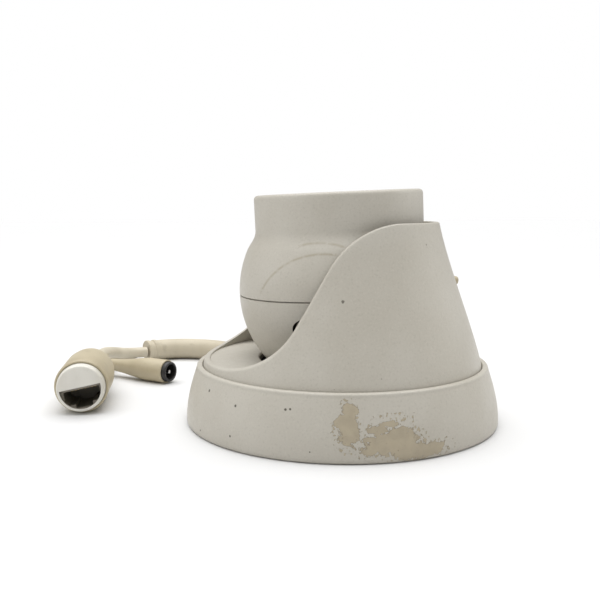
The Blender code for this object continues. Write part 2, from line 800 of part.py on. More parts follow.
def seals(spin):
    seal = ring(REBATE_R - GAP - 0.8, REBATE_R - GAP, GAP - REBATE_Z, REBATE_Z - GAP)
    finished(turned(seal), "eye_seal", black_rubber(), spin)
    gasket = ring(HOOD_BORE - GAP - GASKET_WIDTH, HOOD_BORE - GAP, GASKET_Z, GASKET_Z + GASKET_THICK)
    finished(turned(gasket), "window_gasket", black_rubber(), spin)
    reach = BALL_R - SHELL_WALL
    flange_r = POLE_HOLE_R + 2
    flange_z = GAP - math.sqrt(reach**2 - flange_r**2)
    profile = [
        (0, -BALL_R - SEAT_GAP - 1.0),
        (POLE_HOLE_R - GAP, -BALL_R - SEAT_GAP - 1.0),
        (POLE_HOLE_R - GAP, flange_z),
        (flange_r, flange_z),
        (flange_r, flange_z + 1.2),
        (0, flange_z + 1.2),
    ]
    finished(turned(profile, MEDIUM_ROUND), "eye_grommet", black_rubber(), spin)


def window(spin):
    profile = disc(HOOD_BORE - GAP - 0.1, WINDOW_Z, WINDOW_Z + WINDOW_THICK)
    finished(turned(profile), "front_window", dark_glass(), spin)


def lens(spin):
    bottom = BARREL_TOP - BARREL_LENGTH
    seat = BARREL_TOP - LENS_SEAT
    bore = BARREL_R - BARREL_WALL
    profile = [
        (bore - 1.3, bottom),
        (BARREL_R, bottom),
        (BARREL_R, BARREL_TOP),
        (bore, BARREL_TOP),
        (bore, seat),
        (bore - 1.3, seat),
    ]
    finished(turned(profile, MEDIUM_ROUND), "lens_barrel", black_plastic(), spin)
    glass_r = bore - GAP
    glass = [(0, seat + GAP), (glass_r, seat + GAP), (glass_r, seat + 1.3)]
    crown = [(glass_r * 0.75, seat + 2.1), (glass_r * 0.4, seat + 2.6), (0, seat + 2.8)]
    finished(turned(glass + crown, MEDIUM_ROUND), "front_lens", dark_glass(), spin)
    foot = SENSOR_BOARD_Z + BOARD_THICK + GAP
    holder_bore = BARREL_R + GAP
    holder = ring(holder_bore, holder_bore + HOLDER_WALL, foot, foot + HOLDER_HEIGHT)
    finished(turned(holder, MEDIUM_ROUND), "lens_holder", black_plastic(), spin)
    filter_z = (foot + 1.0 + bottom) / 2 - 0.35
    filter_disc = turned(disc(holder_bore - 0.8, filter_z, filter_z + 0.9), MEDIUM_ROUND)
    finished(filter_disc, "ir_cut_filter", dark_glass(), spin)
    finished(box((-4, -3, foot), (4, 3, foot + 1.0)), "image_sensor", black_plastic(), spin)


def boards(spin):
    led = ring(BARREL_R + 0.8, LED_BOARD_R, LED_BOARD_Z, LED_BOARD_Z + BOARD_THICK)
    finished(turned(led, MEDIUM_ROUND), "led_board", board_green(), spin)
    sensor = disc(SENSOR_BOARD_R, SENSOR_BOARD_Z, SENSOR_BOARD_Z + BOARD_THICK)
    finished(turned(sensor, MEDIUM_ROUND), "sensor_board", board_green(), spin)
    carrier_r = SENSOR_BOARD_R - 1.0
    foot = SENSOR_BOARD_Z + BOARD_THICK + GAP
    carrier = ring(carrier_r - CARRIER_WALL, carrier_r, foot, LED_BOARD_Z - GAP)
    finished(turned(carrier, MEDIUM_ROUND), "board_carrier", black_plastic(), spin)
    sink_top = SENSOR_BOARD_Z - GAP - 1.8
    upright = Matrix.Translation((0, 0, sink_top)) @ Matrix.Rotation(math.radians(90), 4, "X")
    outline = comb(6, SINK_SIDE / 5 - 0.4, 2.0, 1.8, SINK_HEIGHT - 1.8)
    finished(
        extruded(outline, -SINK_SIDE / 2, SINK_SIDE / 2, upright), "heat_sink", aluminium(), spin
    )
    main_top = SENSOR_BOARD_Z - 2 * GAP - SINK_HEIGHT
    main = turned(disc(MAIN_BOARD_R, main_top - BOARD_THICK, main_top), MEDIUM_ROUND)
    finished(main, "main_board", board_green(), spin)
    header_top = main_top - BOARD_THICK - GAP
    finished(box((-5, -2.5, header_top - 6), (5, 2.5, header_top)), "cable_header", white_plastic(), spin)


def light_ring(spin):
    """The foam baffle, the infrared LEDs, the photocell and the microphone on the LED board."""
    foam = ring(FOAM_BORE, FOAM_BORE + FOAM_WALL, FOAM_Z, FOAM_Z + FOAM_HEIGHT)
    finished(turned(foam, MEDIUM_ROUND), "foam_baffle", black_rubber(), spin)
    foot = LED_BOARD_Z + BOARD_THICK + GAP
    flange_r = LED_R + LED_FLANGE
    led = [(0, 0), (flange_r, 0), (flange_r, 0.8), (LED_R, 0.8), (LED_R * 0.8, 2.8), (0, 3.4)]
    number = 0
    for index in range(LED_PLACES):
        place = around(index * 360 / LED_PLACES, LED_CIRCLE_R, foot)
        if index == 3:
            finished(turned(disc(1.6, 0, 2.2), SMALL_ROUND), "photocell", dark_glass(), spin, place)
        elif index == 9:
            finished(turned(disc(2.0, 0, 1.6), SMALL_ROUND), "microphone", aluminium(), spin, place)
        else:
            number += 1
            finished(turned(led, SMALL_ROUND), f"ir_led_{number:02d}", dark_glass(), spin, place)


# Pigtail


def out_along_exit(reach, height):
    turn = math.radians(EXIT_TURN)
    return (reach * math.cos(turn), reach * math.sin(turn), height)


def cables():
    start = EXIT_REACH + GAP
    route = (out_along_exit(start, SLEEVE_Z), *SLEEVE_ROUTE)
    tube("main_cable", route, SLEEVE_R, cream_plastic())
    boot_end = (HEAD_FACE_X - HEAD_LENGTH - BOOT_LENGTH - GAP, HEAD_Y, HEAD_R + FLOOR_GAP)
    tube("net_lead", (*NET_ROUTE, boot_end), NET_LEAD_R, lead_sheath())
    tube("dc_lead", DC_ROUTE, DC_LEAD_R, lead_sheath())
    inner_height = INNER_CABLE_R + 0.8
    reaches = (LEDGE_BORE + 2, (LEDGE_BORE + PORT_R) / 2 + 3, PORT_R + 3)
    inside = [out_along_exit(reach, inner_height) for reach in reaches]
    tube("inner_cable", inside, INNER_CABLE_R, lead_sheath())


def head_place():
    """Turns a piece made along Z so that it points along +X, at the head's height."""
    face = Matrix.Translation((HEAD_FACE_X, HEAD_Y, HEAD_R + FLOOR_GAP))
    return face @ Matrix.Rotation(math.radians(90), 4, "Y")


def network_head():
    bore = INSERT_R + GAP
    rear = -HEAD_LENGTH
    profile = [
        (0, rear - BOOT_LENGTH),
        (BOOT_R, rear - BOOT_LENGTH),
        (BOOT_R + 0.5, rear - BOOT_LENGTH * 0.55),
        (HEAD_R * 0.72, rear - BOOT_LENGTH * 0.25),
        (HEAD_R * 0.94, rear),
        (HEAD_R, rear + 5),
        (HEAD_R, -0.5),
        (HEAD_R - 0.25, 0),
        (bore, 0),
        (bore, -INSERT_DEPTH - GAP),
        (0, -INSERT_DEPTH - GAP),
    ]
    finished(turned(profile, MEDIUM_ROUND), "rj45_head", cream_plastic(), None, head_place())


def socket_outline():
    """The socket with its latch notch, seen along its axis as (across, up) points."""
    right = [
        (SOCKET_HALF, SOCKET_TOP),
        (SOCKET_HALF, SOCKET_TOP - 2.8),
        (SOCKET_HALF - 1.1, SOCKET_BOTTOM),
        (LATCH_HALF, SOCKET_BOTTOM),
        (LATCH_HALF, LATCH_BOTTOM),
    ]
    return right + [(-across, up) for across, up in reversed(right)]


def socket_turn():
    """Turns an outline's X across and its Y up, with its run along +X and the head's roll."""
    place = Matrix.Translation((HEAD_FACE_X + INSERT_PROUD, HEAD_Y, HEAD_R + FLOOR_GAP))
    return place @ Matrix.Rotation(math.radians(HEAD_ROLL), 4, "X") @ ALONG_X


def network_insert():
    face = INSERT_PROUD
    profile = [
        (0, -INSERT_DEPTH),
        (INSERT_R, -INSERT_DEPTH),
        (INSERT_R, face - 0.3),
        (INSERT_R - 0.3, face),
        (RECESS_R, face),
        (RECESS_R, face - RECESS_DEPTH),
        (0, face - RECESS_DEPTH),
    ]
    obj = finished(turned(profile, MEDIUM_ROUND), "rj45_insert", white_plastic(), None, head_place())
    cut(obj, [(extruded(socket_outline(), -SOCKET_DEPTH, -RECESS_DEPTH + 1), socket_turn())])
    outline = comb(CONTACTS, CONTACT_PITCH, 0.5, 1.2, 4.5)
    flat = Matrix.Rotation(math.radians(90), 4, "Z")
    roll = Matrix.Rotation(math.radians(HEAD_ROLL), 4, "X")
    back = HEAD_FACE_X + INSERT_PROUD - SOCKET_DEPTH + 1.9
    place = Matrix.Translation((back, HEAD_Y, HEAD_R + FLOOR_GAP)) @ roll
    contacts = extruded(outline, SOCKET_TOP - 1.0, SOCKET_TOP - 0.5, flat)
    finished(contacts, "rj45_contacts", gold(), None, place)


def jack_place():
    """On the jack's axis at its face, with a piece's Z pointing out of the face."""
    face = Matrix.Translation((*JACK_FACE, JACK_R + FLOOR_GAP))
    turn = Matrix.Rotation(math.radians(JACK_TURN), 4, "Z")
    return face @ turn @ Matrix.Rotation(math.radians(90), 4, "Y")


def power_jack():
    bore = JACK_BORE_R + GAP
    tail = -JACK_LENGTH
    profile = [
        (0, tail),
        (JACK_TAIL_R, tail),
        (JACK_TAIL_R + 0.3, tail + 4),
        (JACK_R * 0.8, tail + 11),
        (JACK_R, tail + 18),
        (JACK_R, -0.3),
        (JACK_R - 0.15, 0),
        (bore, 0),
        (bore, -JACK_CORE_LENGTH - GAP),
        (0, -JACK_CORE_LENGTH - GAP),
    ]
    finished(turned(profile, MEDIUM_ROUND), "dc_jack", cream_plastic(), None, jack_place())
    proud = JACK_CORE_PROUD
    core = [
        (0, -JACK_CORE_LENGTH),
        (JACK_BORE_R, -JACK_CORE_LENGTH),
        (JACK_BORE_R, proud - 0.6),
        (JACK_BORE_R - 0.5, proud),
        (PLUG_BORE_R, proud),
        (PLUG_BORE_R, proud - 9.5),
        (0, proud - 9.5),
    ]
    finished(turned(core, MEDIUM_ROUND), "dc_insert", black_plastic(), None, jack_place())
    pin = [(0, proud - 9.2), (PIN_R, proud - 9.2), (PIN_R, proud - 1.4), (0, proud - 1.0)]
    finished(turned(pin, SMALL_ROUND), "dc_pin", steel(), None, jack_place())


def main():
    clear_scene()
    pan = joint_axis("pan_axis", (0, 0, 0))
    tilt = joint_axis("tilt_axis", (0, 0, BALL_Z), REST_LEAN)
    spin = joint_axis("lens_axis", (0, 0, BALL_Z), REST_LEAN)
    base_ring()
    base_plate()
    shroud_hold_down()
    base_screws()
    cable_grommet()
    shroud(pan)
    ball_seat_ring(pan)
    lock_screw(pan)
    swivel_collar(tilt)
    front_shell(spin)
    rear_shell(spin)
    shell_screws(spin)
    seals(spin)
    window(spin)
    lens(spin)
    boards(spin)
    light_ring(spin)
    cables()
    network_head()
    network_insert()
    power_jack()


main()
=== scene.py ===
"""Looks of a turret camera: fine shells, leads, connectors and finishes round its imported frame.

The frame is in metres with +Z up. Sizes here are in millimetres, turned to metres by MM, and angles in
degrees. The eye is modelled about its ball's centre and placed by eye_place().
"""

import functools
import json
import math

import bmesh
import bpy
import numpy as np
from mathutils import Matrix, Vector
from mathutils.geometry import interpolate_bezier


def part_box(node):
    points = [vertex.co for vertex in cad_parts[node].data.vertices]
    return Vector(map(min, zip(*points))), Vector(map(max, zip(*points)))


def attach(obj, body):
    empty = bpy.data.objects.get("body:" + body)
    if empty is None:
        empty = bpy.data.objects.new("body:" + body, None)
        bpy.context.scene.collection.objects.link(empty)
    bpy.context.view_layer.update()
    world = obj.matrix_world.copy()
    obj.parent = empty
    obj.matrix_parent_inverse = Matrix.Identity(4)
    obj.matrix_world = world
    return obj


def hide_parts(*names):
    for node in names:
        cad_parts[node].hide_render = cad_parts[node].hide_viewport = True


bl_info = {
    "name": "Turret camera looks",
    "version": (1, 0, 0),
    "blender": (4, 5, 0),
    "location": "3D View > Sidebar > Turret",
    "description": "Builds a turret camera's visible shells, leads and finishes",
    "category": "Object",
}

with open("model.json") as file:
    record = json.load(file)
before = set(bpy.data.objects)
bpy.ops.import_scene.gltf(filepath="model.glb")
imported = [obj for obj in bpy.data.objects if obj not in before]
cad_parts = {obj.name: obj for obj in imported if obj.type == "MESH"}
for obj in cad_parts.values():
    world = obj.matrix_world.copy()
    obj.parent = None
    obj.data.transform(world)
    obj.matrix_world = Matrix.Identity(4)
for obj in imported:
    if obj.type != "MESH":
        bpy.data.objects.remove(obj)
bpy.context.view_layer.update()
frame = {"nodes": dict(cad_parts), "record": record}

MM = 0.001
GAP = 0.3
FINE_ROUND = 256
MEDIUM_ROUND = 96
SMALL_ROUND = 32
SHARP_TURN = math.radians(32)
FAR = 80.0
FLOOR_GAP = 0.05

# Base ring, from the frame where its box gives the size.
BASE_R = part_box("base_ring")[1].x / MM
BASE_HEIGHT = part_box("base_ring")[1].z / MM
LIP_R = BASE_R - 3.2
RING_BORE = LIP_R - 1.5
PLATE_RECESS_R = RING_BORE + 0.5
LEDGE_TOP = 11.0
LEDGE_THICK = 2.0
LEDGE_BORE = RING_BORE - 8.0

# Shroud.
SKIRT_R = RING_BORE - 0.4
SHROUD_WALL = 1.8
SKIRT_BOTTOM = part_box("shroud")[0].z / MM
SHROUD_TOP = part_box("shroud")[1].z / MM
FLANGE_THICK = 1.6
FLANGE_BORE = SKIRT_R - SHROUD_WALL - 2.3
FLOOR_TOP = BASE_HEIGHT + 1.4
DISH_LIP = 0.3
CUT_LOW_R = 26.6
CUT_HIGH_R = 24.5
CUT_FLAT_Y = 12.0
CABLE_SLOT_HALF = 10.0
LOCK_SCREW_R = 1.35
LOCK_SCREW_Z = 41.0
LOCK_SCREW_PROUD = 2.3
LOCK_KEY_R = 0.75

# Eye.
BALL_R = 30.5
BALL_Z = 38.85
REST_LEAN = 2.4
SHELL_WALL = 2.3
SEAM = 0.22
HOOD_R = BALL_R - 5.6
HOOD_BORE = HOOD_R - 2.3
NECK_SPREAD = 2.6
NECK_Z = math.sqrt(BALL_R**2 - (HOOD_R + NECK_SPREAD) ** 2)
HOOD_FOOT = NECK_Z + 5.2
HOOD_TOP = HOOD_FOOT + 10.5
WINDOW_THICK = 1.8
WINDOW_Z = HOOD_TOP - 5.9 - WINDOW_THICK
LEDGE_Z = WINDOW_Z - 1.6
THROAT_R = HOOD_BORE - 1.8
REBATE_R = BALL_R - 1.5
REBATE_Z = 1.1
FLOOR_BORE = BALL_R - 5.8
SCREW_CIRCLE_R = BALL_R - 4.5
SCREW_TURNS = (-30.0, 90.0, 210.0)
POCKET_HALF = 4.1
POCKET_TOP = -4.6
POCKET_CROWN = 2.9
POLE_HOLE_R = 4.2
LED_R = 2.3
LED_FLANGE = 0.3
LED_PLACES = 12
LED_CIRCLE_R = 15.4
LED_FOOT = 15.39
PHOTOCELL_PLACE = 3
MICROPHONE_PLACE = 9
BARREL_R = 7.0
BARREL_TOP = WINDOW_Z - 1.0
BARREL_LENGTH = 14.7
LENS_SEAT = 3.7

# Pigtail, whose leads repeat the frame's routes.
EXIT_TURN = 197.0
EXIT_REACH = BASE_R + 2.2
SLEEVE_R = 4.1
SLEEVE_Z = SLEEVE_R + FLOOR_GAP
NET_LEAD_R = 2.1
DC_LEAD_R = 1.5
ROUTE_SPACING = 0.7
COLLARS_BACK = (0.7, 3.5)
COLLAR_RUN = 1.4
SLEEVE_ROUTE = (
    (-57.6, -17.6, SLEEVE_Z),
    (-68.5, -20.9, SLEEVE_Z),
    (-79.2, -24.9, SLEEVE_Z),
    (-88.4, -31.0, SLEEVE_Z),
    (-94.9, -38.9, SLEEVE_Z),
    (-98.2, -48.0, SLEEVE_Z),
    (-97.6, -56.6, SLEEVE_Z),
    (-94.4, -63.6, SLEEVE_Z),
)
NET_ROUTE = (
    (-92.5, -63.5, 4.1),
    (-90.7, -67.9, 4.3),
    (-87.0, -71.9, 5.0),
    (-81.4, -75.1, 6.4),
    (-74.6, -77.4, 7.7),
    (-67.0, -78.8, 8.25),
    (-58.6, -79.0, 8.3),
)
DC_ROUTE = (
    (-96.3, -64.9, 3.4),
    (-94.9, -69.0, 2.5),
    (-94.1, -73.5, 1.8),
    (-92.9, -78.4, 1.6),
    (-90.0, -83.5, 1.6),
    (-85.1, -87.1, 1.6),
    (-79.6, -87.4, 1.7),
    (-75.4, -84.6, 2.3),
    (-72.6, -81.1, 3.2),
    (-70.4, -78.2, 4.0),
    (-68.6, -75.75, 4.25),
)
GROMMET_HALF = 5.6
GROMMET_HEIGHT = 9.4

# Network socket head and power jack.
HEAD_Y = -79.0
HEAD_R = 8.25
HEAD_FACE_X = -14.3
HEAD_LENGTH = 24.0
BOOT_LENGTH = 20.0
BOOT_R = 3.4
INSERT_PROUD = 3.0
INSERT_R = 7.4
INSERT_DEPTH = 18.0
RECESS_DEPTH = 1.8
MOUTH_R = 6.3
MOUTH_TOP = 0.5
SOCKET_HALF = 5.5
SOCKET_TOP = -0.4
SOCKET_BOTTOM = -4.8
SOCKET_DEPTH = 13.0
LATCH_HALF = 2.6
LATCH_BOTTOM = -6.1
HEAD_ROLL = 11.0
JACK_FACE = (-52.2, -53.9)
JACK_TURN = math.degrees(math.atan2(0.8, 0.6))
JACK_R = 4.2
JACK_TAIL_R = 2.0
JACK_LENGTH = 27.0
JACK_BORE_R = 3.6
JACK_CORE_LENGTH = 12.0
JACK_CORE_PROUD = 1.7
PLUG_BORE_R = 2.75

# Camera and lights, in metres and degrees, and the points that they look at.
CAMERA_PLACE = (0.22895, -0.0445, 0.06397)
CAMERA_AIM = (0.00281, -0.01297, 0.03616)
CAMERA_ROLL = -0.13
SIDE_LIGHTS = {"left_light": (0.02, -0.46, 0.22), "right_light": (0.0, 0.46, 0.24)}
SIDE_LIGHT_SIZE = 0.34
SIDE_LIGHT_AIM = (0, 0, 0.03)
OVERHEAD_SPREAD = 75
OVERHEAD_LEAN = -8
FLOOR_HALF = 3000
FLOOR_THICK = 20


# What a user would change


def colour(name, description, default):
    return bpy.props.FloatVectorProperty(
        name=name, description=description, default=default, subtype="COLOR", min=0, max=1
    )


def length(name, description, default):
    return bpy.props.FloatProperty(
        name=name, description=description, default=default * MM, unit="LENGTH", precision=5
    )


def amount(name, description, default):
    return bpy.props.FloatProperty(name=name, description=description, default=default)


class TURRET_PG_shells(bpy.types.PropertyGroup):
    paint: colour("Paint", "Colour of the shells", (0.482, 0.456, 0.398))
    bare: colour("Bare plastic", "Colour under the paint", (0.40, 0.345, 0.25))
    grain: length("Grain", "Width of the paint's grain", 0.55)
    grain_depth: length("Grain depth", "Height of the paint's grain", 0.034)
    rim_round: length("Rim rounding", "Rounding of the shroud's rim", 0.45)
    hood_round: length("Hood rounding", "Rounding of the hood's front edge", 1.2)
    lip_round: length("Lip rounding", "Rounding of the base ring's lip", 0.7)


class TURRET_PG_leads(bpy.types.PropertyGroup):
    cream: colour("Cream", "Colour of the connectors", (0.46, 0.40, 0.275))
    sleeve: colour("Sleeve", "Colour of the pigtail's sleeve", (0.52, 0.465, 0.355))
    sheath: colour("Sheath", "Colour of the two leads", (0.58, 0.53, 0.42))
    insert: colour("Insert", "Colour of the socket's ring", (0.70, 0.68, 0.62))
    collar: length("Collar", "How far the sleeve's end collars stand out", 0.15)


class TURRET_PG_stage(bpy.types.PropertyGroup):
    lens: bpy.props.FloatProperty(name="Lens", description="Focal length", default=46.76, unit="CAMERA")
    floor: colour("Floor", "Colour of the floor", (0.70, 0.70, 0.70))
    overhead: amount("Overhead", "Strength of the light from above", 3.3)
    side: amount("Side lights", "Power of each side light", 0.4)
    sky: amount("Sky", "Strength of the surroundings", 0.42)


# Shader maths


class Signal:
    """A socket of a finish, whose arithmetic adds Math nodes."""

    def __init__(self, finish, socket):
        self.finish = finish
        self.socket = socket

    def math(self, operation, *others):
        return self.finish.math(operation, self, *others)

    def __add__(self, other):
        return self.math("ADD", other)

    def __radd__(self, other):
        return self.finish.math("ADD", other, self)

    def __sub__(self, other):
        return self.math("SUBTRACT", other)

    def __rsub__(self, other):
        return self.finish.math("SUBTRACT", other, self)

    def __mul__(self, other):
        return self.math("MULTIPLY", other)

    def __rmul__(self, other):
        return self.finish.math("MULTIPLY", other, self)

    def __truediv__(self, other):
        return self.math("DIVIDE", other)

    def __pow__(self, other):
        return self.math("POWER", other)


class Finish:
    """A material under construction: nodes, coordinates in millimetres, and one Principled shader."""

    def __init__(self, name):
        self.material = bpy.data.materials.new(name)
        self.material.use_nodes = True
        self.nodes = self.material.node_tree.nodes
        self.links = self.material.node_tree.links
        self.shader = self.nodes["Principled BSDF"]
        coordinates = self.node("ShaderNodeTexCoord", output="Object")
        self.place = self.vector_math("SCALE", coordinates, Scale=1 / MM)

    def node(self, kind, settings=None, values=None, output=0):
        made = self.nodes.new(kind)
        for key, setting in (settings or {}).items():
            setattr(made, key, setting)
        for key, value in (values or {}).items():
            if isinstance(value, Signal):
                self.links.new(value.socket, made.inputs[key])
            else:
                made.inputs[key].default_value = value
        return Signal(self, made.outputs[output])

    def math(self, operation, *terms):
        return self.node("ShaderNodeMath", {"operation": operation}, dict(enumerate(terms)))

    def vector_math(self, operation, *terms, output=0, **values):
        sockets = {**dict(enumerate(terms)), **values}
        return self.node("ShaderNodeVectorMath", {"operation": operation}, sockets, output)

    def axis(self, letter):
        return self.node("ShaderNodeSeparateXYZ", None, {"Vector": self.place}, letter)

    def noise(self, size, detail=2.0, stretch=None):
        """Smooth noise about 0.5, with features of a size, drawn out along a stretch."""
        place = self.place
        if stretch:
            place = self.vector_math("MULTIPLY", place, stretch)
        values = {"Vector": place, "Scale": 1 / size, "Detail": detail}
        return self.node("ShaderNodeTexNoise", None, values)

    def cells(self, size, output="Distance"):
        return self.node("ShaderNodeTexVoronoi", None, {"Vector": self.place, "Scale": 1 / size}, output)

    def band(self, value, low, high, start=0.0, end=1.0):
        """Goes smoothly from start to end as a value goes from low to high."""
        values = {"Value": value, "From Min": low, "From Max": high, "To Min": start, "To Max": end}
        return self.node("ShaderNodeMapRange", {"interpolation_type": "SMOOTHSTEP"}, values)

    def patchy(self, noise):
        """The broad middle of a noise, from nothing to one."""
        return self.band(noise, 0.3, 0.7)

    def highest(self, values):
        return functools.reduce(lambda first, second: self.math("MAXIMUM", first, second), values)

    def mix(self, factor, first, second):
        values = {0: factor, 6: opaque(first), 7: opaque(second)}
        return self.node("ShaderNodeMix", {"data_type": "RGBA"}, values, 2)

    def bump(self, height, distance):
        """A normal from a height between 0 and 1, whose full height is a distance in millimetres."""
        values = {"Height": height, "Distance": distance * MM, "Strength": 1.0}
        return self.node("ShaderNodeBump", None, values)

    def ball(self, centre, radius, edge=0.25):
        """One within a radius of a centre, and nothing outside."""
        away = self.vector_math("DISTANCE", self.place, centre, output="Value")
        ragged = (self.noise(0.5) - 0.5) * radius * 0.8
        return self.band(away + ragged, radius * (1 - edge), radius * (1 + edge), 1.0, 0.0)

    def made(self, colour, roughness, normal=None, **constants):
        """Sets the shader and returns the material."""
        for key, value in {"Base Color": colour, "Roughness": roughness, "Normal": normal}.items():
            if isinstance(value, Signal):
                self.links.new(value.socket, self.shader.inputs[key])
            elif value is not None:
                self.shader.inputs[key].default_value = opaque(value)
        for key, value in constants.items():
            self.shader.inputs[key.replace("_", " ")].default_value = value
        return self.material


def opaque(value):
    """A colour with its alpha, and anything else as it is."""
    if hasattr(value, "__len__") and len(value) == 3:
        return (*value, 1.0)
    return value


def tinted(base, factor, warmth=0.0):
    """A colour made lighter or darker, and yellower by a warmth."""
    scaled = zip(base, (1, 1 - warmth / 3, 1 - warmth))
    return tuple(min(1.0, max(0.0, part * factor * scale)) for part, scale in scaled)


# Finishes of the shells


def all_over_marks(finish):
    """Dark dust specks, a few to the square centimetre."""
    speck = finish.band(finish.cells(5.5), 0.035, 0.06, 1.0, 0.0)
    return speck * finish.band(finish.noise(9.0, 0.0), 0.5, 0.56)


def painted(name, looks, worn=None, dark=None, lined=None):
    """Satin paint over cream plastic; the last three arguments are functions that give masks for worn
    patches, dark marks and thin dark lines.
    """
    finish = Finish(name)
    grain_size = looks.grain / MM
    grain = finish.noise(grain_size, 3.0)
    peel = finish.noise(grain_size * 3.2, 2.0)
    cloud = finish.noise(22.0, 3.0)
    deeper = tinted(looks.paint, 0.95, 0.03)
    paint = finish.mix(finish.patchy(cloud), deeper, tinted(looks.paint, 1.03))
    paint = finish.mix(finish.band(grain, 0.55, 0.7) * 0.2, paint, tinted(looks.paint, 0.6, 0.1))
    paint = finish.mix(finish.band(grain, 0.45, 0.3) * 0.16, paint, tinted(looks.paint, 1.3))
    paint = finish.mix(all_over_marks(finish) * 0.7, paint, tinted(looks.paint, 0.35, 0.1))
    roughness = finish.band(peel, 0.3, 0.7, 0.4, 0.5)
    height = grain * 0.6 + peel * 0.9
    if lined:
        paint = finish.mix(lined(finish), paint, tinted(looks.paint, 0.62, 0.35))
    if dark:
        paint = finish.mix(dark(finish), paint, tinted(looks.paint, 0.22, 0.15))
    if worn:
        depth = worn(finish)
        bare = finish.band(depth, 0.0, 0.05)
        edge = finish.band(depth, -0.07, 0.0) * (1 - bare)
        stain = finish.noise(4.0, 4.0)
        plastic = finish.mix(finish.patchy(stain), tinted(looks.bare, 0.93), tinted(looks.bare, 1.07))
        plastic = finish.mix(finish.band(grain, 0.6, 0.75) * 0.3, plastic, tinted(looks.bare, 0.6))
        paint = finish.mix(edge * 0.55, paint, tinted(looks.paint, 1.25))
        paint = finish.mix(bare, paint, plastic)
        rim = finish.band(depth, -0.02, 0.02) * finish.band(depth, 0.12, 0.05)
        paint = finish.mix(rim * 0.6, paint, tinted(looks.bare, 0.5))
        roughness = roughness + bare * 0.12
        height = height * (1 - bare * 0.5) - bare * 2.2
    return finish.made(paint, roughness, finish.bump(height, looks.grain_depth / MM))


# Worn patches on the base ring: turn and height of the middle, half width along the wall, half height.
TALL_PATCH = (
    (-8.6, 8.8, 2.7, 4.3),
    (-8.0, 12.8, 2.0, 2.4),
    (-11.2, 10.6, 1.6, 1.6),
)
LONG_PATCH = (
    (3.6, 5.0, 6.2, 3.0),
    (7.6, 5.8, 5.4, 3.0),
    (11.5, 3.0, 5.8, 2.5),
    (18.2, 2.7, 5.2, 1.8),
    (1.2, 8.6, 3.0, 1.1),
    (4.6, 9.9, 2.6, 0.8),
    (-1.8, 6.4, 2.0, 0.8),
    (-1.6, 3.4, 2.0, 0.9),
)
CHIP_REACH = 1.3
FLAKED_AREAS = ((6.5, 10.6, 9.5, 3.0), (2.0, 2.6, 8.0, 2.2))


def base_wear(finish):
    """How deep inside a worn patch a point is: above nothing is bare."""
    turn = finish.math("ARCTAN2", finish.axis("Y"), finish.axis("X"))
    height = finish.axis("Z")
    ragged = (finish.noise(1.9, 4.0) - 0.5) * 1.5 + (finish.noise(0.6, 2.0) - 0.5) * 0.7

    def inside(areas):
        depths = []
        for middle, rise, half_width, half_height in areas:
            across = (turn - math.radians(middle)) * (BASE_R / half_width)
            up = (height - rise) / half_height
            depths.append(1 - (across * across + up * up) ** 0.5)
        return finish.highest(depths)

    depth = inside(TALL_PATCH + LONG_PATCH)
    chips = finish.band(finish.noise(0.85, 3.0), 0.5, 0.68, -0.3, 0.3)
    near = finish.band(depth, -CHIP_REACH, 0.1, -0.5, 0.06)
    flaked = finish.band(inside(FLAKED_AREAS), 0.0, 0.5, -0.5, -0.02)
    return finish.math("MAXIMUM", depth + ragged, chips + finish.math("MAXIMUM", near, flaked))


# Small dark marks on the base ring: turn, height and radius.
BASE_SPECKS = (
    (-65.1, 13.6, 0.42),
    (-48.8, 11.9, 0.36),
    (-29.2, 12.9, 0.34),
    (-27.6, 13.1, 0.3),
    (-67.0, 2.4, 0.3),
    (-49.5, 4.0, 0.34),
    (-38.0, 8.2, 0.2),
    (-20.5, 3.1, 0.22),
)


def wall_point(turn, height):
    reach = LIP_R + (BASE_R - LIP_R) * (1 - (height / BASE_HEIGHT) ** 1.5)
    return around(turn) @ Vector((reach, 0, height))


def base_marks(finish):
    return finish.highest(finish.ball(wall_point(*place), radius) for *place, radius in BASE_SPECKS)


# Points along the thin dark lines on the front dome, and the mark on the shroud.
DOME_LINES = (
    ((16.7, -25.4, 40.8), (22.2, -18.4, 48.8), (27.1, -7.1, 50.9)),
    ((21.8, -15.6, 53.4), (24.6, -9.3, 54.3), (26.7, -4.3, 53.0)),
)
SHROUD_MARK = (33.9, -6.2, 39.3)
DOME_LINE_HALF = 0.16


def dome_lines(finish):
    """Thin broken dark lines, each where a plane through its three points meets the dome."""
    marks = []
    for start, middle, end in DOME_LINES:
        start, middle, end = Vector(start), Vector(middle), Vector(end)
        across = (middle - start).cross(end - start).normalized()
        centre = (start + end) / 2
        off = finish.vector_math("DOT_PRODUCT", finish.place, across, output="Value") - across.dot(middle)
        line = finish.band(off.math("ABSOLUTE"), 0.0, DOME_LINE_HALF * 2.6, 1.0, 0.0)
        marks.append(line * finish.ball(centre, (end - start).length / 2, 0.1))
    broken = finish.band(finish.noise(2.4, 3.0), 0.3, 0.55)
    return finish.math("MAXIMUM", *marks) * broken * 0.5


def shroud_marks(finish):
    return finish.ball(SHROUD_MARK, 0.42) * 0.85


# Finishes of everything else


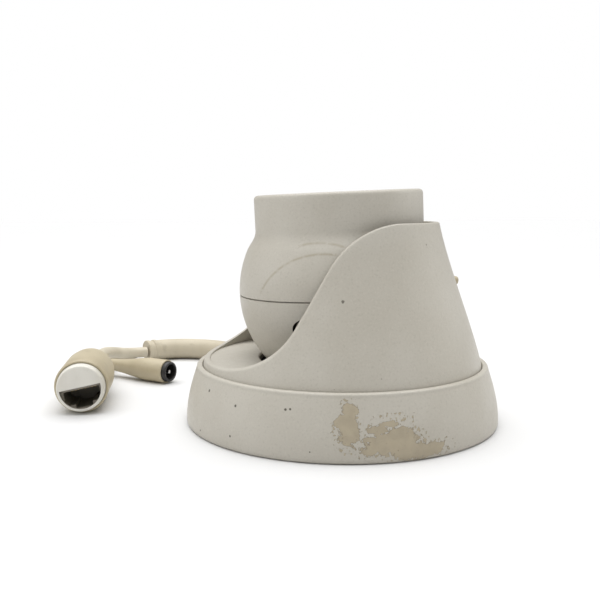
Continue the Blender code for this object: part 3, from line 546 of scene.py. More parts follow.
def moulded(name, base, roughness=0.42, grain=0.5, depth=0.012, soil=0.25):
    """Satin moulded plastic with a faint grain, flow marks and soiling."""
    finish = Finish(name)
    grain_noise = finish.noise(grain, 3.0)
    flow = finish.noise(9.0, 3.0, (1.0, 1.0, 0.35))
    tint = finish.mix(finish.patchy(flow), tinted(base, 0.93, 0.04), tinted(base, 1.05))
    dirt = finish.band(finish.noise(3.0, 5.0), 0.56, 0.74) * soil
    tint = finish.mix(dirt, tint, tinted(base, 0.55, 0.15))
    tint = finish.mix(finish.band(grain_noise, 0.6, 0.75) * 0.1, tint, tinted(base, 0.7))
    rough = finish.band(flow, 0.3, 0.7, roughness - 0.05, roughness + 0.07)
    return finish.made(tint, rough, finish.bump(grain_noise, depth))


def rubber(name, base):
    finish = Finish(name)
    grain = finish.noise(0.35, 3.0)
    bloom = finish.band(finish.noise(5.0, 4.0), 0.5, 0.8) * 0.35
    tint = finish.mix(bloom, base, tinted(base, 2.6))
    return finish.made(tint, finish.band(grain, 0.3, 0.7, 0.6, 0.78), finish.bump(grain, 0.02))


def metal(name, base, roughness, stretch):
    """Turned or cast metal, with fine marks drawn out along one way."""
    finish = Finish(name)
    marks = finish.noise(0.3, 3.0, stretch)
    tint = finish.mix(finish.band(marks, 0.35, 0.65), tinted(base, 0.88), tinted(base, 1.06))
    rough = finish.band(marks, 0.3, 0.7, roughness - 0.08, roughness + 0.08)
    return finish.made(tint, rough, finish.bump(marks, 0.006), Metallic=1.0)


def glass(name, base, transmission, roughness=0.04):
    finish = Finish(name)
    smear = finish.noise(7.0, 4.0)
    tint = finish.mix(finish.patchy(smear), tinted(base, 0.9), tinted(base, 1.1))
    rough = finish.band(smear, 0.5, 0.8, roughness, roughness + 0.06)
    return finish.made(tint, rough, None, Transmission_Weight=transmission, IOR=1.49)


def circuit_board(name, base):
    """Solder mask over copper tracks, with tinned pads."""
    finish = Finish(name)
    black = (0, 0, 0, 1)
    bricks = {"Vector": finish.place, "Scale": 0.5, "Mortar Size": 0.03, "Color1": black, "Color2": black}
    tracks = finish.node("ShaderNodeTexBrick", {"offset": 0.5, "squash": 1.0}, bricks, "Fac")
    tint = finish.mix(tracks * 0.6, base, tinted(base, 2.4))
    pads = finish.band(finish.cells(2.2), 0.16, 0.13)
    tint = finish.mix(pads, tint, (0.62, 0.6, 0.55))
    return finish.made(tint, 0.34 - pads * 0.08, finish.bump(tracks, 0.03))


@functools.cache
def finish_named(name):
    """Each plain finish is made once, on first use."""
    leads = bpy.context.scene.turret_leads
    recipes = {
        "cream_plastic": (moulded, leads.cream),
        "sleeve_skin": (moulded, leads.sleeve, 0.5, 0.6, 0.02, 0.3),
        "lead_sheath": (moulded, leads.sheath, 0.4, 0.5, 0.01, 0.2),
        "white_plastic": (moulded, leads.insert, 0.36, 0.5, 0.008, 0.15),
        # Where they line the socket's recessed mouth and its deep cavity, the next two finishes are painted
        # shade: darker than the insert, standing in for the shade inside.
        "grey_plastic": (moulded, (0.27, 0.245, 0.205), 0.5, 0.4, 0.015, 0.3),
        "socket_painted_shade": (moulded, (0.15, 0.135, 0.105), 0.5, 0.4, 0.01, 0.3),
        "black_plastic": (moulded, (0.018, 0.017, 0.017), 0.42, 0.4, 0.012, 0.2),
        "black_rubber": (rubber, (0.02, 0.019, 0.018)),
        "dark_glass": (glass, (0.55, 0.55, 0.6), 0.95),
        "lens_glass": (glass, (0.30, 0.26, 0.42), 0.75, 0.02),
        "led_glass": (glass, (0.8, 0.78, 0.85), 0.3, 0.08),
        "board_green": (circuit_board, (0.015, 0.11, 0.045)),
        "steel": (metal, (0.55, 0.54, 0.52), 0.35, (1.0, 1.0, 5.0)),
        "gold": (metal, (0.83, 0.6, 0.24), 0.28, (0.3, 4.0, 4.0)),
        "aluminium": (metal, (0.62, 0.62, 0.63), 0.42, (4.0, 0.4, 4.0)),
    }
    maker, *values = recipes[name]
    return maker(name, *values)


# Shapes


def turned(angle, axis):
    return Matrix.Rotation(math.radians(angle), 4, axis)


def facing(place, aim):
    """At a place, with -Z towards a point."""
    ahead = Vector(aim) - Vector(place)
    return Matrix.Translation(place) @ ahead.to_track_quat("-Z", "Y").to_matrix().to_4x4()


def around(turn, radius=0.0, height=0.0):
    """The place at a turn about Z, at a radius and a height, with its own X pointing outwards."""
    return turned(turn, "Z") @ Matrix.Translation((radius, 0, height))


def eye_place():
    """The ball's centre, leant as the eye rests."""
    return Matrix.Translation((0, 0, BALL_Z)) @ turned(REST_LEAN, "X")


def along_x():
    """Turns a run along Z into a run along +X, with the outline's Y up."""
    return Matrix(((0, 0, 1, 0), (1, 0, 0, 0), (0, 1, 0, 0), (0, 0, 0, 1)))


def curve_points(first, pull, push, last, steps):
    """Points on a cubic curve in a plane."""
    knots = [Vector((*point, 0)) for point in (first, pull, push, last)]
    return [point.to_2d() for point in interpolate_bezier(*knots, steps)]


def arc(centre, radius, start, end, steps):
    turns = [math.radians(start + (end - start) * step / steps) for step in range(steps + 1)]
    return [
        Vector((centre[0] + radius * math.cos(turn), centre[1] + radius * math.sin(turn))) for turn in turns
    ]


def sphere_outline(radius, low, high, steps):
    turns = [math.degrees(math.asin(height / radius)) for height in (low, high)]
    return arc((0, 0), radius, turns[0], turns[1], steps)


def softened(corners, closed=True, steps=5):
    """An outline from corners of (x, y, rounding), where a corner may also be a plain point."""
    outline = []
    for index, corner in enumerate(corners):
        point = Vector(corner[:2])
        if len(corner) < 3 or not (closed or 0 < index < len(corners) - 1):
            outline.append(point)
            continue
        before = Vector(corners[index - 1][:2])
        after = Vector(corners[(index + 1) % len(corners)][:2])
        start = point + (before - point).normalized() * corner[2]
        end = point + (after - point).normalized() * corner[2]
        outline += curve_points(start, start.lerp(point, 0.55), end.lerp(point, 0.55), end, steps)
    return outline


def spun(outline, sides, closed=True):
    """An outline of (radius, height) points turned about Z. An open one starts and ends on the axis."""
    bm = bmesh.new()
    verts = [bm.verts.new((point[0], 0, point[1])) for point in outline]
    pairs = list(zip(verts, verts[1:]))
    if closed:
        pairs.append((verts[-1], verts[0]))
    edges = [bm.edges.new(pair) for pair in pairs]
    bmesh.ops.spin(
        bm, geom=[*verts, *edges], cent=(0, 0, 0), axis=(0, 0, 1), angle=math.tau, steps=sides, use_merge=True
    )
    tidy(bm)
    return bm


def on_axis(corners, sides):
    """A solid spun from an outline that starts and ends on the axis, with its corners rounded."""
    return spun(softened(corners, False), sides, False)


def tidy(bm):
    """Closes seams and poles, and points every face outwards."""
    bmesh.ops.remove_doubles(bm, verts=bm.verts, dist=1e-4)
    bmesh.ops.dissolve_degenerate(bm, edges=bm.edges, dist=1e-5)
    bmesh.ops.recalc_face_normals(bm, faces=bm.faces)


def extruded(outline, start, end):
    """An outline in X and Y run along Z."""
    bm = bmesh.new()
    face = bm.faces.new([bm.verts.new((point[0], point[1], start)) for point in outline])
    grown = bmesh.ops.extrude_face_region(bm, geom=[face])
    top = [item for item in grown["geom"] if isinstance(item, bmesh.types.BMVert)]
    bmesh.ops.translate(bm, verts=top, vec=(0, 0, end - start))
    bmesh.ops.recalc_face_normals(bm, faces=bm.faces)
    return bm


def box(low, high):
    bm = bmesh.new()
    low, high = Vector(low), Vector(high)
    place = Matrix.Translation((low + high) / 2) @ Matrix.Diagonal((*(high - low), 1))
    bmesh.ops.create_cube(bm, size=1, matrix=place)
    return bm


def joined(parts):
    """Several (bmesh, place) pairs as one bmesh."""
    whole = bmesh.new()
    for part, place in parts:
        part.transform(place)
        mesh = bpy.data.meshes.new("part")
        part.to_mesh(mesh)
        part.free()
        whole.from_mesh(mesh)
        bpy.data.meshes.remove(mesh)
    return whole


def as_object(name, bm, materials):
    """Turns a bmesh in millimetres into an object in metres."""
    bm.transform(Matrix.Scale(MM, 4))
    mesh = bpy.data.meshes.new(name)
    bm.to_mesh(mesh)
    bm.free()
    for material in materials:
        mesh.materials.append(material)
    obj = bpy.data.objects.new(name, mesh)
    bpy.context.collection.objects.link(obj)
    return obj


def carved(obj, tools, material):
    """Takes tools away from a piece, all in one cut, and lines the cut with a material."""
    cutter = as_object(f"{obj.name}_cutter", joined(tools), [material])
    modifier = obj.modifiers.new("cut", "BOOLEAN")
    modifier.operation = "DIFFERENCE"
    modifier.solver = "EXACT"
    modifier.material_mode = "TRANSFER"
    modifier.object = cutter
    bpy.context.view_layer.update()
    result = bpy.data.meshes.new_from_object(obj.evaluated_get(bpy.context.evaluated_depsgraph_get()))
    obj.modifiers.clear()
    obj.data = result
    bpy.data.objects.remove(cutter)


def shaded(obj):
    """Smooth faces, with an edge left sharp where the surface turns a corner."""
    bm = bmesh.new()
    bm.from_mesh(obj.data)
    for face in bm.faces:
        face.smooth = True
    for edge in bm.edges:
        edge.smooth = len(edge.link_faces) == 2 and edge.calc_face_angle(0) < SHARP_TURN
    bm.to_mesh(obj.data)
    bm.free()


def piece(name, bm, material, body, nodes=(), place=None, tools=(), painted_shade_lining=None):
    """A finished piece that rides on a body and stands for its nodes; a lining, where given, is painted shade
    on the cut faces.
    """
    if place is not None:
        bm.transform(place)
    obj = as_object(name, bm, [material])
    if tools:
        carved(obj, tools, painted_shade_lining or material)
    shaded(obj)
    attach(obj, body)
    if nodes:
        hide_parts(*nodes)
    return obj


def plain_piece(name, bm, slot, body, nodes=(), place=None, tools=()):
    """A piece whose finish is the one named after its slot."""
    return piece(name, bm, finish_named(slot), body, nodes, place, tools)


# Base


def arch(half, height, bottom):
    """Flat sides under a round top."""
    return [(half, bottom), *arc((0, height - half), half, 0, 180, 24), (-half, bottom)]


def along_exit():
    return turned(EXIT_TURN, "Z") @ along_x()


def base_ring(looks):
    lip = looks.lip_round / MM
    pull = (BASE_R - 0.1, 7.0)
    push = (LIP_R + 1.4, BASE_HEIGHT - 5.0)
    wall = curve_points((BASE_R - 0.05, 1.6), pull, push, (LIP_R, BASE_HEIGHT - 0.9), 28)
    corners = [
        (PLATE_RECESS_R, 0, 0.2),
        (BASE_R - 0.05, 0, 1.1),
        *wall,
        (LIP_R - 0.02, BASE_HEIGHT, lip),
        (RING_BORE - 0.2, BASE_HEIGHT, 0.3),
        (RING_BORE - 0.2, BASE_HEIGHT - 2),
        (RING_BORE, BASE_HEIGHT - 2.2),
        (RING_BORE, LEDGE_TOP, 0.2),
        (LEDGE_BORE, LEDGE_TOP, 0.2),
        (LEDGE_BORE, LEDGE_TOP - LEDGE_THICK, 0.2),
        (PLATE_RECESS_R, LEDGE_TOP - LEDGE_THICK, 0.2),
    ]
    notch = extruded(arch(GROMMET_HALF + 0.1, GROMMET_HEIGHT + 0.1, -1.0), LEDGE_BORE + 2, BASE_R + FAR)
    paint = painted("base_paint", looks, base_wear, base_marks)
    ring = spun(softened(corners), FINE_ROUND)
    piece("base_shell", ring, paint, "root", ["base_ring"], tools=[(notch, along_exit())])


def grommet():
    """A rubber block with a rounded lip round the cable, set in the ring's notch."""
    block = extruded(arch(GROMMET_HALF, GROMMET_HEIGHT, GAP), LEDGE_BORE + 2.6, EXIT_REACH)
    outer = [edge for edge in block.edges if all(vert.co.z > EXIT_REACH - 0.01 for vert in edge.verts)]
    bmesh.ops.bevel(block, geom=outer, offset=0.7, segments=4, profile=0.5, affect="EDGES", material=-1)
    block.transform(along_exit())
    return plain_piece("exit_grommet", block, "black_rubber", "root", ["cable_grommet"])


# Shroud


@functools.cache
def shroud_wall():
    """Heights and radii of the outer wall's line."""
    top = SHROUD_TOP + 1
    top_r = HOOD_R + 1.7 + SHROUD_WALL
    foot = BASE_HEIGHT - 0.3
    pull = (SKIRT_R - 2.4, foot + 11)
    push = (top_r + 2.2, top - 12)
    points = curve_points((SKIRT_R, foot), pull, push, (top_r, top), 80)
    return [point[1] for point in points], [point[0] for point in points]


def wall_radius(height):
    heights, radii = shroud_wall()
    return float(np.interp(height, heights, radii))


@functools.cache
def sweep_line():
    """The sweeping cut as places along Y and their heights: a low arc, a straight, a high arc, then flat."""
    low = Vector((-(SKIRT_R - 0.6), FLOOR_TOP + DISH_LIP + CUT_LOW_R))
    high = Vector((CUT_FLAT_Y, SHROUD_TOP - CUT_HIGH_R))
    between = high - low
    spread = math.acos((CUT_LOW_R + CUT_HIGH_R) / between.length)
    tangent = math.degrees(math.atan2(between.y, between.x) - spread)
    points = [*arc(low, CUT_LOW_R, -90, tangent, 60), *arc(high, CUT_HIGH_R, tangent + 180, 90, 60)]
    return [point.x for point in points], [point.y for point in points]


def sweep_height(across):
    return float(np.interp(across, *sweep_line()))


@functools.cache
def rim_height(turn, inset):
    """Where the wall, moved in by an inset, meets the sweeping cut at a turn in radians."""
    low, high = BASE_HEIGHT, SHROUD_TOP + 1
    for _ in range(RIM_HALVINGS):
        middle = (low + high) / 2
        if middle < sweep_height((wall_radius(middle) - inset) * math.sin(turn)):
            low = middle
        else:
            high = middle
    return low


RIM_HALVINGS = 26
SHROUD_ROUND = 480
RIM_STEPS = (0.03, 0.08, 0.16, 0.25, 0.5, 0.75, 0.84, 0.92, 0.97)
RIM_EDGE = 0.25


def rim_drop(inset, rounding):
    """How far the rim's rounded edges lie under its flat middle."""
    share = min(inset, SHROUD_WALL - inset) / (SHROUD_WALL * RIM_EDGE)
    if share >= 1:
        return 0.0
    return rounding * (1 - math.sqrt(1 - (1 - share) ** 2))


def shroud(looks):
    """A plain cone is spun, and its wall is then let down to the sweeping cut."""
    heights, radii = shroud_wall()
    foot, top = heights[0], heights[-1]
    rounding = looks.rim_round / MM
    steps = 36
    outer_heights = [foot + (top - foot) * step / steps for step in range(steps + 1)]
    inner_heights = [FLOOR_TOP + (top - FLOOR_TOP) * step / steps for step in range(steps + 1)]
    inner_r = SKIRT_R - SHROUD_WALL
    outline = [
        (SKIRT_R, SKIRT_BOTTOM),
        *[(wall_radius(height), height) for height in outer_heights],
        *[(wall_radius(top) - SHROUD_WALL * step, top) for step in RIM_STEPS],
        *[(wall_radius(height) - SHROUD_WALL, height) for height in reversed(inner_heights)],
        *[(FLOOR_BORE + (inner_r - FLOOR_BORE) * step / 8, FLOOR_TOP) for step in range(7, 0, -1)],
        (FLOOR_BORE + 0.4, FLOOR_TOP),
        (FLOOR_BORE, FLOOR_TOP - 0.4),
        (FLOOR_BORE, FLOOR_TOP - SHROUD_WALL),
        (inner_r, FLOOR_TOP - SHROUD_WALL),
        (inner_r, SKIRT_BOTTOM + FLANGE_THICK),
        (FLANGE_BORE, SKIRT_BOTTOM + FLANGE_THICK),
        (FLANGE_BORE, SKIRT_BOTTOM),
    ]
    bm = spun(outline, SHROUD_ROUND)
    for vert in bm.verts:
        reach = math.hypot(vert.co.x, vert.co.y)
        inset = wall_radius(vert.co.z) - reach
        start = foot if inset < 0.01 else FLOOR_TOP
        if inset > SHROUD_WALL + 0.01 or vert.co.z <= start + 1e-4:
            continue
        inset = min(max(inset, 0.0), SHROUD_WALL)
        turn = round(math.atan2(vert.co.y, vert.co.x), 5)
        end = rim_height(turn, round(inset, 3)) - rim_drop(inset, rounding)
        height = start + (max(end, start + 0.1) - start) * (vert.co.z - start) / (top - start)
        reach = wall_radius(height) - inset
        vert.co = (reach * math.cos(turn), reach * math.sin(turn), height)
    bmesh.ops.recalc_face_normals(bm, faces=bm.faces)
    slot = box(
        (-CABLE_SLOT_HALF, FLOOR_BORE - 5, FLOOR_TOP - SHROUD_WALL - 1),
        (CABLE_SLOT_HALF, SKIRT_R - SHROUD_WALL - 2, FLOOR_TOP + 1),
    )
    hole_r = LOCK_SCREW_R + GAP
    hole = spun([(0, BALL_R - 2), (hole_r, BALL_R - 2), (hole_r, FAR), (0, FAR)], SMALL_ROUND, False)
    paint = painted("shroud_paint", looks, dark=shroud_marks)
    tools = [(slot, Matrix()), (hole, lock_screw_place())]
    piece("shroud_shell", bm, paint, "shroud_body", ["shroud"], tools=tools)


def lock_screw_place():
    """On the lock screw's axis, with Z pointing out through the shroud's back."""
    return Matrix.Translation((0, 0, LOCK_SCREW_Z)) @ turned(-90, "X")


def lock_screw():
    """A grub screw through the shroud's back, with a hexagon socket and a rounded end."""
    end = wall_radius(LOCK_SCREW_Z) + LOCK_SCREW_PROUD
    start = BALL_R + 0.5
    corners = [
        (0, start),
        (LOCK_SCREW_R * 0.6, start),
        (LOCK_SCREW_R, start + 0.6),
        (LOCK_SCREW_R, end - 0.9),
        (LOCK_SCREW_R * 0.8, end, 0.3),
        (0, end),
    ]
    place = lock_screw_place()
    key = extruded(arc((0, 0), LOCK_KEY_R, 0, 300, 5), end - 1.2, end + 1)
    screw = on_axis(corners, SMALL_ROUND)
    nodes = ["lock_screw"]
    plain_piece("locking_screw", screw, "cream_plastic", "shroud_body", nodes, place, [(key, place)])


# Eye


def front_dome(looks):
    hood_round = looks.hood_round / MM
    inner = BALL_R - SHELL_WALL
    neck_r = HOOD_R + NECK_SPREAD
    lean = Vector((-NECK_Z, neck_r)).normalized()
    pull = Vector((neck_r, NECK_Z)) + lean * 1.7
    neck = curve_points((neck_r, NECK_Z), pull, (HOOD_R, HOOD_FOOT - 1.9), (HOOD_R, HOOD_FOOT), 12)
    corners = [
        (BALL_R - 0.25, SEAM / 2),
        *sphere_outline(BALL_R, SEAM / 2 + 0.2, NECK_Z, 30)[:-1],
        *neck,
        *[(HOOD_R, HOOD_FOOT + 9.0 * step / 6) for step in range(1, 6)],
        (HOOD_R, HOOD_TOP, hood_round),
        (HOOD_BORE, HOOD_TOP, 0.4),
        (HOOD_BORE, LEDGE_Z, 0.15),
        (THROAT_R, LEDGE_Z, 0.3),
        (THROAT_R, HOOD_FOOT, 0.2),
        *sphere_outline(inner, REBATE_Z, inner * 0.57, 16)[::-1],
        (REBATE_R, REBATE_Z),
        (REBATE_R, SEAM / 2),
    ]
    paint = painted("front_dome_paint", looks, lined=dome_lines)
    dome = spun(softened(corners), FINE_ROUND)
    piece("front_dome", dome, paint, "eye_body", ["eye_front_shell"], eye_place())


def rear_dome(looks):
    """The lower shell, with an arched pocket over each screw, lined black as painted shade."""
    inner = BALL_R - SHELL_WALL
    pole = -math.sqrt(BALL_R**2 - POLE_HOLE_R**2)
    inner_pole = -math.sqrt(inner**2 - POLE_HOLE_R**2)
    outline = [
        (REBATE_R, -SEAM / 2),
        (REBATE_R, -REBATE_Z),
        *sphere_outline(inner, inner_pole, -REBATE_Z, 24)[::-1],
        *sphere_outline(BALL_R, pole, -SEAM / 2 - 0.2, 48),
        (BALL_R - 0.25, -SEAM / 2),
    ]
    crown = [
        (POCKET_HALF * math.cos(turn), POCKET_TOP - POCKET_CROWN * (1 - math.sin(turn)))
        for turn in (math.pi * step / 20 for step in range(21))
    ]
    pocket = [(POCKET_HALF, -FAR), *crown, (-POCKET_HALF, -FAR)]
    tools = [
        (extruded(pocket, SCREW_CIRCLE_R - POCKET_HALF, BALL_R + 5), eye_place() @ around(turn) @ along_x())
        for turn in SCREW_TURNS
    ]
    paint = painted("rear_dome_paint", looks)
    # Painted shade: the pockets' walls are the shell's paint, and the black lining stands for the shade
    # inside them.
    painted_shade_lining = finish_named("black_plastic")
    dome = spun(outline, FINE_ROUND)
    nodes = ["eye_rear_shell"]
    piece("rear_dome", dome, paint, "eye_body", nodes, eye_place(), tools, painted_shade_lining)


def window():
    radius = HOOD_BORE - 0.4
    top = WINDOW_Z + WINDOW_THICK
    corners = [(0, WINDOW_Z), (radius, WINDOW_Z, 0.2), (radius, top, 0.35), (0, top)]
    pane = on_axis(corners, FINE_ROUND // 2)
    plain_piece("window_pane", pane, "dark_glass", "eye_body", ["front_window"], eye_place())
    bead = softened(
        [
            (HOOD_BORE - 0.45, WINDOW_Z + 0.2),
            (HOOD_BORE - 0.05, WINDOW_Z + 0.2),
            (HOOD_BORE - 0.05, top + 0.3, 0.2),
            (HOOD_BORE - 0.8, top + 0.25, 0.2),
            (HOOD_BORE - 0.8, top + 0.02),
            (HOOD_BORE - 0.45, top + 0.02),
        ]
    )
    ring = spun(bead, FINE_ROUND // 2)
    plain_piece("window_bead", ring, "black_rubber", "eye_body", place=eye_place())


def lens():
    bottom = BARREL_TOP - BARREL_LENGTH
    seat = BARREL_TOP - LENS_SEAT
    bore = BARREL_R - 1.1
    steps = [
        (bore - 0.35 * step, BARREL_TOP - 0.6 - (LENS_SEAT - 0.9) * (step - 0.5 * part) / 4)
        for step in range(1, 5)
        for part in (1, 0)
    ]
    barrel = [
        (bore - 1.4, bottom),
        (BARREL_R, bottom, 0.3),
        (BARREL_R, BARREL_TOP, 0.3),
        (bore, BARREL_TOP, 0.2),
        *steps,
        (bore - 1.4, seat),
    ]
    body = spun(softened(barrel), MEDIUM_ROUND)
    plain_piece("lens_tube", body, "black_plastic", "eye_body", ["lens_barrel"], eye_place())
    glass_r = bore - 1.5
    crown = seat + 2.2
    pull = (glass_r * 0.75, seat + 1.6)
    dome = curve_points((glass_r, seat + 0.4), pull, (glass_r * 0.35, crown), (0, crown), 10)
    glass_outline = [(0, seat + 0.05), (glass_r, seat + 0.05), *dome]
    element = spun(glass_outline, MEDIUM_ROUND, False)
    coated = finish_named("lens_glass")
    piece("lens_element", element, coated, "eye_body", ["front_lens"], eye_place())


def light_ring():
    """A domed LED with a flange at each place of the ring that has no other part."""
    dome = curve_points((LED_R, 1.6), (LED_R, 3.0), (LED_R * 0.5, 3.4), (0, 3.4), 8)
    outline = [(0, 0), (LED_R + LED_FLANGE, 0), (LED_R + LED_FLANGE, 0.8, 0.15), (LED_R, 0.8), *dome]
    number = 0
    for index in range(LED_PLACES):
        if index in (PHOTOCELL_PLACE, MICROPHONE_PLACE):
            continue
        number += 1
        place = eye_place() @ around(index * 360 / LED_PLACES, LED_CIRCLE_R, LED_FOOT)
        led = on_axis(outline, SMALL_ROUND)
        node = f"ir_led_{number:02d}"
        piece(f"light_{number:02d}", led, finish_named("led_glass"), "eye_body", [node], place)


# Pigtail


def smooth_route(points, spacing):
    """Points along one smooth curve through the route's points, about a spacing apart."""
    knots = [Vector(point) for point in points]
    knots = [2 * knots[0] - knots[1], *knots, 2 * knots[-1] - knots[-2]]
    route = []
    for before, start, end, after in zip(knots, knots[1:], knots[2:], knots[3:]):
        steps = max(1, round((end - start).length / spacing))
        for step in range(steps):
            t = step / steps
            slope = (end - before) * t
            bend = (2 * before - 5 * start + 4 * end - after) * t**2
            twist = (3 * start - before - 3 * end + after) * t**3
            route.append(0.5 * (2 * start + slope + bend + twist))
    return [*route, knots[-2]]


def route_length(route):
    return sum((end - start).length for start, end in zip(route, route[1:]))


def lead(name, points, radius, finish, node):
    """A round lead along its route; gives the piece and its route."""
    route = smooth_route(points, ROUTE_SPACING)
    data = bpy.data.curves.new(name, "CURVE")
    data.dimensions = "3D"
    data.bevel_depth = radius * MM
    data.bevel_resolution = 8
    data.use_fill_caps = True
    spline = data.splines.new("POLY")
    spline.points.add(len(route) - 1)
    for point, place in zip(spline.points, route):
        point.co = (*(place * MM), 1.0)
    data.materials.append(finish_named(finish))
    obj = bpy.data.objects.new(name, data)
    bpy.context.collection.objects.link(obj)
    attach(obj, "root")
    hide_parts(node)
    return obj, route


def along(route, index):
    """A place on a route, with Z along it towards the end."""
    ahead = route[index] - route[index - 1]
    return Matrix.Translation(route[index]) @ ahead.to_track_quat("Z", "Y").to_matrix().to_4x4()


def collar(name, route, back, looks):
    """A moulded ring round the sleeve, a way back from its end."""
    index = -1 - round(back / ROUTE_SPACING)
    inner = SLEEVE_R - 0.5
    proud = SLEEVE_R + looks.collar / MM
    half = COLLAR_RUN / 2
    outline = [(inner, -half), (proud, -half, 0.25), (proud, half, 0.25), (inner, half)]
    ring = spun(softened(outline), 48)
    lifted = Matrix.Translation((0, 0, looks.collar / MM - 0.03)) @ along(route, index)
    return piece(name, ring, finish_named("sleeve_skin"), "root", (), lifted)


def head_place():
    """On the socket head's axis at its face, with Z pointing out of it."""
    return Matrix.Translation((HEAD_FACE_X, HEAD_Y, HEAD_R + FLOOR_GAP)) @ turned(90, "Y")


def socket_place():
    place = Matrix.Translation((HEAD_FACE_X + INSERT_PROUD, HEAD_Y, HEAD_R + FLOOR_GAP))
    return place @ turned(HEAD_ROLL, "X") @ along_x()


def network_head():
    """The socket head: a body with its boot, and a ring insert with a cavity for the gold contacts."""
    rear = -HEAD_LENGTH
    bore = INSERT_R + 0.12
    foot = (BOOT_R + 0.1, rear - BOOT_LENGTH + 1)
    pull = (BOOT_R + 1.0, rear - 8.5)
    shoulder = curve_points(foot, pull, (HEAD_R - 1.6, rear - 5.5), (HEAD_R - 0.5, rear), 14)
    corners = [
        (0, rear - BOOT_LENGTH),
        (BOOT_R, rear - BOOT_LENGTH, 0.3),
        *shoulder,
        (HEAD_R, rear + 5),
        (HEAD_R, -12),
        (HEAD_R, 0, 0.55),
        (bore, 0, 0.15),
        (bore, -INSERT_DEPTH - GAP),
        (0, -INSERT_DEPTH - GAP),
    ]
    body = on_axis(corners, MEDIUM_ROUND)
    head = plain_piece("socket_body", body, "cream_plastic", "root", ["rj45_head"], head_place())
    face = INSERT_PROUD
    outline = [
        (0, -INSERT_DEPTH),
        (INSERT_R, -INSERT_DEPTH),
        (INSERT_R, face - 2.0, 0.15),
        (INSERT_R - 0.2, face - 1.85, 0.1),
        (INSERT_R - 0.2, face, 0.6),
        (0, face),
    ]
    socket = [
        (SOCKET_HALF, SOCKET_TOP, 0.25),
        (SOCKET_HALF, SOCKET_TOP - 2.8, 0.3),
        (SOCKET_HALF - 1.1, SOCKET_BOTTOM, 0.3),
        (LATCH_HALF, SOCKET_BOTTOM, 0.2),
        (LATCH_HALF, LATCH_BOTTOM, 0.3),
    ]
    socket += [(-across, up, rounding) for across, up, rounding in reversed(socket)]
    cavity = extruded(softened(socket), -SOCKET_DEPTH, -RECESS_DEPTH + 1)
    chord = math.degrees(math.asin(MOUTH_TOP / MOUTH_R))
    mouth = extruded(arc((0, 0), MOUTH_R, 180 - chord, 360 + chord, 48), -RECESS_DEPTH, 1)
    ring = on_axis(outline, MEDIUM_ROUND)
    # Painted shade: the mouth's recess is lined grey, darker than the white insert, standing in for the shade
    # in the recess.
    white, mouth_shade = finish_named("white_plastic"), finish_named("grey_plastic")
    nodes, tools = ["rj45_insert"], [(mouth, socket_place())]
    insert = piece("socket_ring", ring, white, "root", nodes, head_place(), tools, mouth_shade)
    # Painted shade: the cavity is lined darker still, standing in for the shade deep in the socket.
    carved(insert, [(cavity, socket_place())], finish_named("socket_painted_shade"))
    shaded(insert)
    return [head, insert]


def jack_place():
    face = Matrix.Translation((*JACK_FACE, JACK_R + FLOOR_GAP))
    return face @ turned(JACK_TURN, "Z") @ turned(90, "Y")


def power_jack():
    tail = -JACK_LENGTH
    bore = JACK_BORE_R + 0.08
    foot = (JACK_TAIL_R + 0.15, tail + 1.5)
    pull = (JACK_TAIL_R + 0.4, tail + 7)
    taper = curve_points(foot, pull, (JACK_R - 0.7, tail + 12), (JACK_R, tail + 18), 14)
    corners = [
        (0, tail),
        (JACK_TAIL_R, tail, 0.2),
        *taper,
        (JACK_R, -8),
        (JACK_R, 0, 0.3),
        (bore, 0, 0.1),
        (bore, -JACK_CORE_LENGTH - GAP),
        (0, -JACK_CORE_LENGTH - GAP),
    ]
    shell = on_axis(corners, MEDIUM_ROUND)
    body = plain_piece("jack_body", shell, "cream_plastic", "root", ["dc_jack"], jack_place())
    proud = JACK_CORE_PROUD
    core = [
        (0, -JACK_CORE_LENGTH),
        (JACK_BORE_R, -JACK_CORE_LENGTH),
        (JACK_BORE_R, proud, 0.45),
        (PLUG_BORE_R, proud, 0.3),
        (PLUG_BORE_R, proud - 9.5),
        (0, proud - 9.5),
    ]
    barrel = on_axis(core, MEDIUM_ROUND)
    insert = plain_piece("jack_core", barrel, "black_plastic", "root", ["dc_insert"], jack_place())
    return [body, insert, frame["nodes"]["dc_pin"]]


# Operators


class TURRET_OT_stage(bpy.types.Operator):
    """Makes the camera, the floor, the lights and the surroundings"""

    bl_idname = "turret.stage"
    bl_label = "Stage"

    def execute(self, context):
        looks = context.scene.turret_stage
        camera = bpy.data.objects.new("camera", bpy.data.cameras.new("camera"))
        camera.data.lens = looks.lens
        camera.matrix_world = facing(CAMERA_PLACE, CAMERA_AIM) @ turned(CAMERA_ROLL, "Z")
        camera.data.clip_start = 0.01
        context.collection.objects.link(camera)
        context.scene.camera = camera
        slab = box((-FLOOR_HALF, -FLOOR_HALF, -FLOOR_THICK), (FLOOR_HALF, FLOOR_HALF, 0))
        floor = as_object("floor", slab, [floor_finish(looks.floor)])
        for name, place in SIDE_LIGHTS.items():
            soft_light(name, place, looks.side)
        sun = bpy.data.lights.new("overhead", "SUN")
        sun.energy = looks.overhead
        sun.angle = math.radians(OVERHEAD_SPREAD)
        overhead = bpy.data.objects.new("overhead", sun)
        overhead.rotation_euler = (0, math.radians(OVERHEAD_LEAN), 0)
        context.collection.objects.link(overhead)
        context.scene.world = surroundings(looks.sky)
        context.scene.view_settings.view_transform = "Standard"
        return {"FINISHED"}


